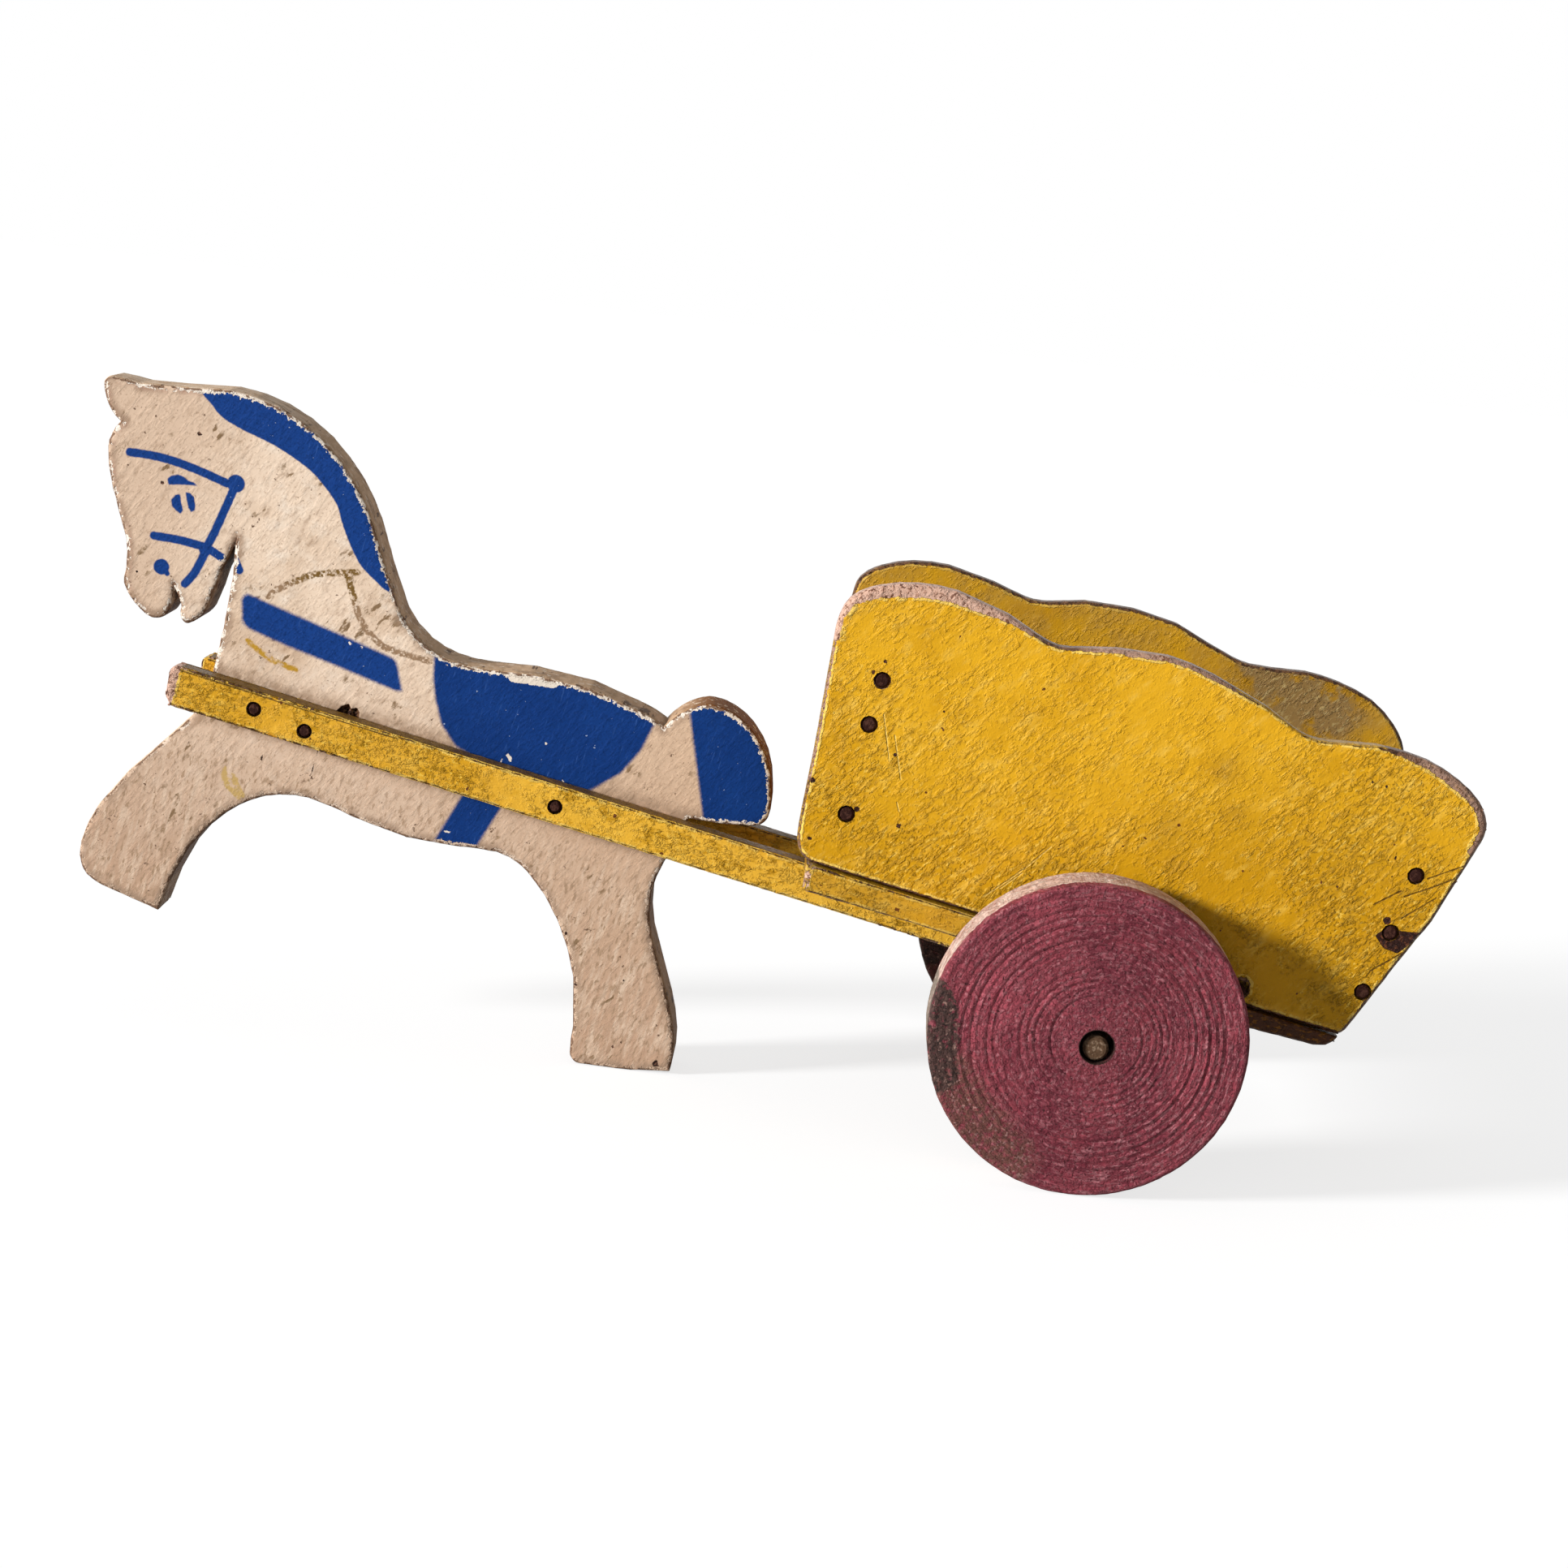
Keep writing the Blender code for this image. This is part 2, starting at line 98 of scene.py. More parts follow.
# Limits for cutting the boards into cells and measuring on them, in millimetres and radians.
FAR = 99.0                  # no such mark is near
TINY = 1e-12                # keeps a division from being by zero
WELD = 0.004                # corners nearer than this are one corner
FLAT_ANGLE = math.radians(0.3)      # faces that turn less than this are joined
SHARP_ANGLE = math.radians(33)      # edges that turn more than this are sawn edges
SMOOTH_ANGLE = math.radians(35)     # edges that turn less than this are shaded smooth
LINE_STEP = 0.3             # between the spots along a sawn edge that are measured from
NAIL_CLEAR = 2.2            # a sharp edge nearer to a nail than this is the nail's hole
WORN_REACH = 0.9            # from a sawn edge inwards, the board is dented by wear
HOLE_SLOPE = 0.5            # the splintered hole's sides slope in over this width

# The light, in the toy's own frame: it travels as the wheel's shadow on the cart shows.
LIGHT_TRAVEL = Vector((0.888, 0.453, -0.082))
SUN_STRENGTH = 5.0
SUN_SPREAD = math.radians(10)
SKY_STRENGTH = 0.3          # what lights the toy, while the sky that is seen is plain white
FLOOR_GLOW = 0.75           # lifts the floor that is seen to white, and lights nothing
FLOOR_WIDE = 8.0            # metres

# Brushwork: the strokes climb towards the rear at these angles.
STROKE_RISE = 1.0           # the cart's yellow
BRUSH_RISE = 1.1            # the horse's cream
SHAFT_RISE = 0.1            # the yellow on the shafts and the floor
STROKE_LONG = 3.0           # how many times longer than wide a stroke's dents are

# Where the near sideboard's edge changes from one kind of wear to another.
FRONT_EDGE_X = 29.0
FRONT_BARE_FROM = 60.0      # the front edge is worn bare above this height
FOOT_TOP = 45.0             # and edges under this height are the foot's
FOOT_REAR_X = 140.0
REAR_EDGE_X = 150.0
REAR_BARE_FROM = 57.0       # the rear edge is worn bare above this height
FRONT_STRIP = 2.2           # the floor's edge is worn over this length at its front

# Blue stencilled shapes on the horse: X and Z of their outlines.
MANE = [(-116.5, 66.6), (-112.7, 62.9), (-109.9, 61.1), (-105.1, 59.9), (-97.7, 58.7), (-89.9, 56.2),
        (-85.6, 53.6), (-82.2, 50.8), (-80.0, 47.3), (-77.1, 43.4), (-73.8, 39.9), (-70.1, 37.8),
        (-66.9, 36.4), (-60.0, 36.0), (-62.0, 56.0), (-80.0, 74.0), (-112.0, 74.0)]
EYEBROW = [(-117.3, 44.1), (-117.8, 45.2), (-117.3, 46.0), (-116.0, 46.8), (-114.6, 46.7), (-113.4, 46.2),
           (-112.3, 46.2), (-111.2, 45.7), (-112.9, 45.4), (-115.1, 44.8)]
EYE_REAR = [(-113.4, 43.7), (-112.4, 43.8), (-111.5, 43.3), (-110.7, 41.7), (-110.5, 40.6), (-111.2, 39.9),
            (-112.0, 40.7), (-112.8, 42.2)]
EYE_FRONT = [(-115.3, 42.5), (-114.4, 43.0), (-113.8, 41.5), (-112.9, 39.8), (-113.2, 38.9), (-114.5, 39.4),
             (-115.5, 40.1), (-115.9, 41.3)]
STRAPS = [[(-126.8, 48.3), (-120.0, 49.2), (-112.8, 49.0), (-105.5, 48.1)],
          [(-103.7, 48.6), (-104.0, 46.0), (-105.3, 37.5), (-106.2, 33.5)],
          [(-117.4, 32.8), (-112.2, 33.5), (-107.8, 33.7), (-106.0, 33.7)],
          [(-106.0, 33.7), (-102.6, 32.7)],
          [(-106.1, 32.6), (-107.1, 27.9), (-108.5, 24.9)],
          [(-99.4, 32.7), (-98.2, 31.2)]]
STRAP_HALF = 0.9
DOTS = [(-103.7, 48.6, 1.9), (-106.2, 33.2, 1.35), (-114.2, 26.9, 1.7), (-112.7, 25.9, 0.6)]

# Blue shapes with soft edges, put on through a looser stencil.
COLLAR = [(-96.2, 25.8), (-95.4, 26.9), (-78.8, 25.0), (-71.5, 24.2), (-61.9, 23.0), (-60.9, 22.4),
          (-58.1, 16.7), (-59.1, 16.3), (-73.2, 17.7), (-84.0, 18.6), (-92.7, 19.7), (-94.6, 20.5)]
BLANKET = [(-54.1, 34.0), (-53.7, 26.1), (-52.6, 21.5), (-51.0, 17.4), (-48.1, 12.3), (-44.0, 8.8),
           (-32.7, 6.0), (-18.5, 4.9), (-13.3, 8.6), (-8.5, 13.8), (-5.8, 19.8), (-4.6, 26.9),
           (-4.2, 34.0)]
GIRTH = [(-38.3, 4.0), (-29.4, 4.0), (-34.6, -15.0), (-43.3, -15.0)]
TAIL = [(1.6, 31.0), (6.5, 20.1), (11.1, 9.8), (11.8, 4.0), (30.0, 4.0), (30.0, 40.0), (0.6, 40.0)]

# Marks of wear on the horse. Here and below, a round mark is its X, its Z and its radius.
SCUFFS = [[(-90.9, 27.6), (-88.9, 30.1), (-84.6, 33.8), (-81.5, 35.7), (-74.2, 38.3)],
          [(-75.4, 36.1), (-73.1, 32.4), (-70.6, 28.6), (-67.2, 26.0), (-63.2, 24.6), (-54.2, 24.7)]]
SMEARS = [[(-92.5, 17.1), (-87.0, 14.9), (-81.0, 14.3)], [(-90.0, -11.1), (-88.8, -14.0), (-85.2, -16.2)],
          [(-87.5, -12.0), (-86.4, -13.9), (-84.6, -15.7)]]
FLAKES = [[(-36.6, 26.6), (-31.7, 27.4), (-27.6, 28.0)], [(-25.7, 15.1), (-25.2, 14.8)],
          [(-33.7, 8.2), (-32.6, 10.6), (-31.7, 9.4)], [(-20.2, 8.6), (-19.8, 8.2)],
          [(-42.2, -10.6), (-39.5, -9.3)], [(-71.6, 23.3), (-70.9, 23.0)], [(-69.3, 23.2), (-68.6, 22.8)]]
FLAKE_HALF = [0.9, 0.35, 0.3, 0.3, 0.3, 0.35, 0.35]
SPLINTER = [(-70.8, 7.7), (-69.5, 9.7), (-68.2, 10.6), (-67.4, 9.7), (-66.3, 10.3), (-65.6, 9.6),
            (-65.3, 8.0), (-65.6, 6.4), (-70.4, 6.6)]
CRACK = [(-71.7, -0.2), (-71.5, -4.0), (-72.0, -6.6)]
CRACK_HALF = 0.18
HORSE_PITS = [(-14.2, -15.3, 0.4), (-9.5, -23.5, 0.5), (-2.2, -18.2, 0.45), (5.1, -29.6, 0.5),
              (5.3, -32.5, 0.4), (8.0, -42.3, 0.35), (7.3, -44.7, 0.45), (17.4, -45.6, 0.8),
              (13.1, -39.2, 0.4), (-4.4, -34.1, 0.5), (-83.0, -6.3, 0.6), (-92.7, -6.1, 0.4),
              (-104.0, -28.5, 0.4), (-113.6, 56.4, 0.6), (-118.6, 44.1, 0.4), (-118.7, 24.4, 0.4),
              (-90.3, 32.0, 0.45), (-90.7, 30.0, 0.4), (-62.4, 10.3, 0.45), (-58.8, 12.6, 0.35),
              (-75.6, 13.9, 0.35)]

# Marks of wear on the near sideboard. Grooves are dark scratches, and the others are light.
SIDE_PITS = [(36.3, 58.7, 0.45), (34.6, 55.9, 0.4), (50.5, 52.5, 0.3), (29.6, 31.2, 0.6),
             (32.7, 19.6, 0.45), (49.1, 27.5, 0.5), (43.9, 41.2, 0.35), (39.9, 28.2, 0.6),
             (137.0, 65.0, 0.3), (139.9, 65.0, 0.35), (146.5, 51.7, 0.4), (145.2, 50.9, 0.3),
             (137.4, 42.4, 0.35), (147.3, 47.7, 0.3), (149.3, 38.9, 0.8)]
SIDE_SPLINTER = [(148.0, 35.3), (150.1, 37.9), (152.4, 37.6), (156.9, 38.6), (154.8, 34.8), (153.6, 33.1),
                 (150.4, 33.3)]
SIDE_SCRATCHES = [[(39.2, 48.4), (43.2, 39.6)], [(42.6, 45.0), (46.5, 36.8)], [(47.2, 32.0), (48.2, 30.4)],
                  [(70.0, 18.8), (75.7, 26.4), (79.7, 32.7)], [(72.6, 21.4), (75.9, 25.8)]]
SIDE_GROOVES = [[(154.2, 49.6), (160.0, 54.1)], [(151.0, 44.7), (155.5, 48.1), (159.3, 51.2)],
                [(145.6, 41.2), (149.9, 45.6)], [(151.9, 40.2), (157.1, 46.3)],
                [(149.5, 27.8), (154.3, 33.3)]]
SIDE_SMUDGES = [(107.9, 58.6, 4.0), (101.5, 43.4, 5.0), (104.1, 37.2, 2.5), (113.0, 50.0, 3.0)]
NEAR_MARKS = (SIDE_PITS, [SIDE_SPLINTER], SIDE_SCRATCHES, SIDE_GROOVES, SIDE_SMUDGES)
FAR_SMUDGES = [(135.0, 70.0, 9.0), (124.0, 74.0, 7.0)]      # on the far sideboard's inner face

# Dirt on the wheel's left, near black, and below it, thinner.
WHEEL_DIRT = [(65.0, -1.0), (67.5, -6.0), (70.5, -15.0)]
WHEEL_DUST = [(73.0, -16.0), (79.0, -21.5), (89.0, -28.0)]


def select_only(piece):
    bpy.ops.object.select_all(action="DESELECT")
    piece.select_set(True)
    bpy.context.view_layer.objects.active = piece


def middle(node_name):
    low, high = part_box(node_name)
    return (low + high) / 2


def toy_placement():
    """Turns toy millimetres into the frame's metres: the CAD toy stands tipped nose up."""
    along = middle("floor_nail_left_2") - middle("floor_nail_left_1")
    tip = math.atan2(-along.z, along.x)
    turn = Matrix.Rotation(tip, 4, "Y")
    hub = Vector(next(j["pos_m"] for j in frame["joints"] if j["name"] == "left_wheel_spin"))
    return tip, Matrix.Translation(hub - turn @ (AXLE * MM)) @ turn @ Matrix.Scale(MM, 4)


NOSE_UP, TOY = toy_placement()


def smooth(points, closed=True, steps=6):
    """A smooth curve through points, as an array of X and Z."""
    spots = np.array(points, float)
    if closed:
        ring = np.vstack([spots[-1:], spots, spots[:2]])
    else:
        ring = np.vstack([spots[:1], spots, spots[-1:]])
    t = np.linspace(0, 1, steps, endpoint=False)[:, None]
    runs = []
    for a, b, c, d in zip(ring, ring[1:], ring[2:], ring[3:]):
        runs.append(0.5 * (2 * b + (c - a) * t + (2 * a - 5 * b + 4 * c - d) * t**2
                           + (3 * b - a - 3 * c + d) * t**3))
    if not closed:
        runs.append(spots[-1:])
    return np.vstack(runs)


def line_distance(spots, line, closed=False):
    """How far each spot is from a run of straight pieces."""
    starts = line if closed else line[:-1]
    ends = np.roll(line, -1, axis=0) if closed else line[1:]
    nearest = np.full(len(spots), np.inf)
    for start, end in zip(starts, ends):
        run = end - start
        t = np.clip(((spots - start) @ run) / max(run @ run, TINY), 0, 1)
        gap = spots - start - t[:, None] * run
        nearest = np.minimum(nearest, np.einsum("ij,ij->i", gap, gap))
    return np.sqrt(nearest)


def outline_distance(spots, outline):
    """How far each spot is from an outline, negative inside it."""
    inside = np.zeros(len(spots), bool)
    for start, end in zip(outline, np.roll(outline, -1, axis=0)):
        between = (start[1] > spots[:, 1]) != (end[1] > spots[:, 1])
        crossing = start[0] + (spots[:, 1] - start[1]) * (end[0] - start[0]) / (end[1] - start[1] + TINY)
        inside ^= between & (spots[:, 0] < crossing)
    gap = line_distance(spots, outline, closed=True)
    return np.where(inside, -gap, gap)


def crisp_distance(spots):
    """Distance to the blue shapes with sharp edges."""
    shapes = [outline_distance(spots, smooth(MANE))]
    for outline in (EYEBROW, EYE_FRONT, EYE_REAR):
        shapes.append(outline_distance(spots, np.array(outline)))
    for strap in STRAPS:
        shapes.append(line_distance(spots, smooth(strap, closed=False)) - STRAP_HALF)
    for x, z, radius in DOTS:
        shapes.append(np.hypot(spots[:, 0] - x, spots[:, 1] - z) - radius)
    return np.minimum.reduce(shapes)


def soft_distance(spots):
    """Distance to the blue shapes with soft edges."""
    return np.minimum.reduce([outline_distance(spots, np.array(outline))
                              for outline in (COLLAR, BLANKET, GIRTH, TAIL)])


def vertex_places(piece):
    places = np.empty(len(piece.data.vertices) * 3)
    piece.data.vertices.foreach_get("co", places)
    return places.reshape(-1, 3)


def note(piece, name, values):
    """Keeps a number for each vertex, which the paint reads."""
    attribute = piece.data.attributes.new(name, "FLOAT", "POINT")
    attribute.data.foreach_set("value", np.asarray(values, np.float32))


def nail_spots():
    """Where each nail's head is: X, Y and Z in toy millimetres."""
    back = TOY.inverted()
    return {name: back @ middle(name) for name in frame["nodes"] if "nail" in name}


NAILS = nail_spots()


def pick(piece, wanted, kind="faces"):
    """In edit mode, selects the faces or edges that a test wants."""
    bpy.ops.mesh.select_mode(type="FACE" if kind == "faces" else "EDGE")
    bpy.ops.mesh.select_all(action="DESELECT")
    shape = bmesh.from_edit_mesh(piece.data)
    for part in getattr(shape, kind):
        if wanted(part):
            part.select_set(True)
    shape.select_flush_mode()
    bmesh.update_edit_mesh(piece.data)


def worn_lines(piece):
    """Spots along a board's sharp lines, nail holes left out, for measuring from."""
    shape = bmesh.from_edit_mesh(piece.data)
    spots = []
    for edge in shape.edges:
        if len(edge.link_faces) != 2 or edge.calc_face_angle() < SHARP_ANGLE:
            continue
        start, end = (vert.co for vert in edge.verts)
        if min((start - nail).xz.length for nail in NAILS.values()) < NAIL_CLEAR:
            continue
        steps = max(1, math.ceil((end - start).length / LINE_STEP))
        spots += [start.lerp(end, step / steps) for step in range(steps + 1)]
    tree = kdtree.KDTree(len(spots))
    for number, spot in enumerate(spots):
        tree.insert(spot, number)
    tree.balance()
    return tree


def cut_board(node_name, name, pitch, halvings=1):
    """A copy of a CAD board, cut across into cells, and the sharp lines that it had."""
    data = frame["nodes"][node_name].data.copy()
    data.transform(TOY.inverted())
    piece = bpy.data.objects.new(name, data)
    bpy.context.scene.collection.objects.link(piece)
    select_only(piece)
    bpy.ops.mesh.customdata_custom_splitnormals_clear()
    bpy.ops.object.mode_set(mode="EDIT")
    bpy.ops.mesh.select_all(action="SELECT")
    bpy.ops.mesh.remove_doubles(threshold=WELD)
    bpy.ops.mesh.dissolve_limited(angle_limit=FLAT_ANGLE)
    lines = worn_lines(piece)
    places = [vert.co for vert in bmesh.from_edit_mesh(piece.data).verts]
    for axis in range(3):
        low = min(place[axis] for place in places)
        high = max(place[axis] for place in places)
        cells = max(1, round((high - low) / pitch))
        square = [0.0, 0.0, 0.0]
        square[axis] = 1.0
        for cell in range(1, cells):
            at = [0.0, 0.0, 0.0]
            at[axis] = low + (high - low) * cell / cells
            bpy.ops.mesh.select_all(action="SELECT")
            bpy.ops.mesh.bisect(plane_co=at, plane_no=square)
    bpy.ops.mesh.select_all(action="DESELECT")
    bpy.ops.mesh.select_mode(type="FACE")
    bpy.ops.mesh.select_face_by_sides(number=4, type="GREATER")
    bpy.ops.mesh.quads_convert_to_tris()
    bpy.ops.mesh.select_all(action="SELECT")
    for _ in range(halvings):
        bpy.ops.mesh.subdivide(number_cuts=1)
    bpy.ops.object.mode_set(mode="OBJECT")
    return piece, lines


def line_gaps(piece, lines):
    return np.array([lines.find(vert.co)[2] for vert in piece.data.vertices])


def nail_gaps(piece, names, nail_axis):
    """How far each vertex is from the nearest of some nails, seen along the nails."""
    places = vertex_places(piece)
    keep = [axis for axis in range(3) if axis != nail_axis]
    gaps = [np.hypot(*(places[:, keep] - np.array(NAILS[name])[keep]).T) for name in names]
    return np.minimum.reduce(gaps) if gaps else np.full(len(places), FAR)


def pit_distance(spots, pits, outlines, lines=()):
    """Distance to round pits, outlined holes and cracks, negative inside them."""
    shapes = [np.full(len(spots), FAR)]
    shapes += [np.hypot(spots[:, 0] - x, spots[:, 1] - z) - radius for x, z, radius in pits]
    shapes += [outline_distance(spots, np.array(outline)) for outline in outlines]
    shapes += [line_distance(spots, np.array(line)) - CRACK_HALF for line in lines]
    return np.minimum.reduce(shapes)


def nearest_line(spots, lines):
    """Distance to the nearest of some drawn lines."""
    return np.minimum.reduce([np.full(len(spots), FAR)]
                             + [line_distance(spots, smooth(line, closed=False)) for line in lines])


def smudge(x, z, spot):
    """Dirt that is 1 in the middle of a round spot and fades away past its radius."""
    spot_x, spot_z, radius = spot
    return np.exp(-((x - spot_x)**2 + (z - spot_z)**2) / radius**2)


def halve_cells_near(piece, distance, reaches):
    """Halves the cells of a board's faces near its drawn marks, once for each reach."""
    for reach in reaches:
        near = distance(vertex_places(piece)[:, [0, 2]])
        select_only(piece)
        bpy.ops.object.mode_set(mode="EDIT")
        pick(piece, lambda face: abs(face.normal.y) > 0.9
             and min(near[vert.index] for vert in face.verts) < reach)
        bpy.ops.mesh.subdivide(number_cuts=1)
        bpy.ops.object.mode_set(mode="OBJECT")


def dent(piece, size, depth, weights=None, rise=None):
    """Presses a piece's surface in unevenly: never out, so that it keeps its size. With a
    rise, the dents run as strokes, which climb towards the rear at that angle."""
    select_only(piece)
    lumps = bpy.data.textures.new(f"{piece.name} dents", "CLOUDS")
    lumps.noise_scale = size
    lumps.noise_depth = 2
    press = piece.modifiers.new("dents", "DISPLACE")
    press.texture = lumps
    press.texture_coords = "LOCAL"
    press.strength = depth
    press.mid_level = 1.0
    guide = None
    if rise is not None:
        guide = bpy.data.objects.new("stroke guide", None)
        guide.rotation_euler = (0.0, -rise, 0.0)
        guide.scale = (STROKE_LONG, 1.0, 1.0)
        bpy.context.scene.collection.objects.link(guide)
        press.texture_coords = "OBJECT"
        press.texture_coords_object = guide
        bpy.context.view_layer.update()
    if weights is not None:
        group = piece.vertex_groups.new(name="dented")
        for number, weight in enumerate(weights):
            if weight > 0.01:
                group.add([number], float(weight), "REPLACE")
        press.vertex_group = "dented"
    bpy.ops.object.modifier_apply(modifier=press.name)
    if weights is not None:
        piece.vertex_groups.clear()
    if guide is not None:
        bpy.data.objects.remove(guide)
    bpy.data.textures.remove(lumps)


def settle(piece, body, nodes, finish):
    """Puts a finished piece in its place in the frame, with its paint."""
    select_only(piece)
    piece.matrix_world = TOY
    bpy.ops.object.transform_apply(location=True, rotation=True, scale=True)
    bpy.ops.object.shade_smooth_by_angle(angle=SMOOTH_ANGLE)
    piece.data.materials.clear()
    piece.data.materials.append(finish)
    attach(piece, body)
    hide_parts(*nodes)


# Materials.

def srgb(code):
    """A colour written as sRGB hex, as the linear numbers that nodes take."""
    parts = [int(code[i:i + 2], 16) / 255 for i in (0, 2, 4)]
    return (*[c / 12.92 if c <= 0.04045 else ((c + 0.055) / 1.055)**2.4 for c in parts], 1.0)


def node(tree, kind, inputs=None, **settings):
    """Adds a shader node: its own settings, and its inputs as values or sockets to link."""
    made = tree.nodes.new(kind)
    for name, value in settings.items():
        setattr(made, name, value)
    for name, value in (inputs or {}).items():
        if isinstance(value, bpy.types.NodeSocket):
            tree.links.new(value, made.inputs[name])
        else:
            made.inputs[name].default_value = value
    return made


def new_material(name, roughness, specular):
    """A material, and the place on the toy in millimetres, which its patterns read."""
    made = bpy.data.materials.new(name)
    made.use_nodes = True
    tree = made.node_tree
    shader = tree.nodes["Principled BSDF"]
    shader.inputs["Roughness"].default_value = roughness
    shader.inputs["Specular IOR Level"].default_value = specular
    where = node(tree, "ShaderNodeTexCoord").outputs["Object"]
    place = node(tree, "ShaderNodeMapping", {"Vector": where, "Location": TOY.translation,
                 "Rotation": (0.0, NOSE_UP, 0.0), "Scale": (MM, MM, MM)}, vector_type="TEXTURE").outputs[0]
    return made, tree, shader, place


def surface_facing(tree):
    """The way the surface faces, along the toy's own axes."""
    normal = node(tree, "ShaderNodeTexCoord").outputs["Normal"]
    return node(tree, "ShaderNodeMapping", {"Vector": normal, "Rotation": (0.0, NOSE_UP, 0.0)},
                vector_type="TEXTURE").outputs[0]


def finish_shader(shader, colour, height, depth):
    """Links the colour, and a relief whose height of 1 stands depth millimetres high."""
    tree = shader.id_data
    tree.links.new(colour, shader.inputs["Base Color"])
    bump = node(tree, "ShaderNodeBump", {"Height": height, "Distance": depth * MM})
    tree.links.new(bump.outputs[0], shader.inputs["Normal"])


def coats(ground, *layers):
    """Lays colours over a ground one by one, each where its mask is 1. Each colour is sRGB
    hex or a socket, such as that of other coats."""
    for mask, colour in layers:
        ground, colour = (srgb(paint) if isinstance(paint, str) else paint for paint in (ground, colour))
        ground = node(mask.id_data, "ShaderNodeMix", {0: mask, 6: ground, 7: colour},
                      data_type="RGBA").outputs[2]
    return ground


def raised(value, mask, step):
    """A value, raised by step where a mask is 1."""
    return node(mask.id_data, "ShaderNodeMath", {0: mask, 1: step, 2: value},
                operation="MULTIPLY_ADD").outputs[0]


def ramp(value, low, high):
    """0 where a value is at low, 1 where it is at high, and a smooth rise between."""
    return node(value.id_data, "ShaderNodeMapRange", {0: value, 1: low, 2: high},
                interpolation_type="SMOOTHSTEP").outputs[0]


def patches(place, size, low, high, detail=3.0, stretch=None, turn=0.0):
    """Uneven patches about size mm across: 0 where their noise is under low, 1 over high.
    A turn leans what is stretched, as seen from the toy's left."""
    tree = place.id_data
    if stretch is not None:
        leaned = node(tree, "ShaderNodeMapping", {"Vector": place, "Rotation": (0.0, turn, 0.0)}).outputs[0]
        place = node(tree, "ShaderNodeMapping", {"Vector": leaned, "Scale": stretch}).outputs[0]
    noise = node(tree, "ShaderNodeTexNoise", {"Vector": place, "Scale": 1 / size, "Detail": detail,
                 "Roughness": 0.6}).outputs[0]
    return ramp(noise, low, high)


def within(distance, limit, blur, place, size, ragged):
    """1 where a distance is under its limit. The edge is blurred over blur millimetres, and
    wanders up to ragged millimetres either way, in bends about size millimetres long. The
    distance is a socket, or the name that a piece's vertices keep it under."""
    tree = place.id_data
    if isinstance(distance, str):
        distance = node(tree, "ShaderNodeAttribute", attribute_name=distance).outputs["Fac"]
    noise = node(tree, "ShaderNodeTexNoise", {"Vector": place, "Scale": 1 / size, "Detail": 3.0,
                 "Roughness": 0.65}).outputs[0]
    ragged_distance = raised(distance, noise, 2 * ragged)
    return ramp(ragged_distance, limit + ragged + blur / 2, limit + ragged - blur / 2)


def combined(operation, masks):
    total, *others = masks
    for mask in others:
        total = node(total.id_data, "ShaderNodeMath", {0: total, 1: mask}, operation=operation).outputs[0]
    return total


def both(*masks):
    """Where all the masks are 1."""
    return combined("MULTIPLY", masks)


def either(*masks):
    """Where any of the masks is 1."""
    return combined("MAXIMUM", masks)


def off_face(facing, flat, turned):
    """0 on the faces that look sideways, and 1 where the surface has turned away from them."""
    tree = facing.id_data
    sideways = node(tree, "ShaderNodeSeparateXYZ", {0: facing}).outputs["Y"]
    share = node(tree, "ShaderNodeMath", {0: sideways}, operation="ABSOLUTE").outputs[0]
    return ramp(share, flat, turned)


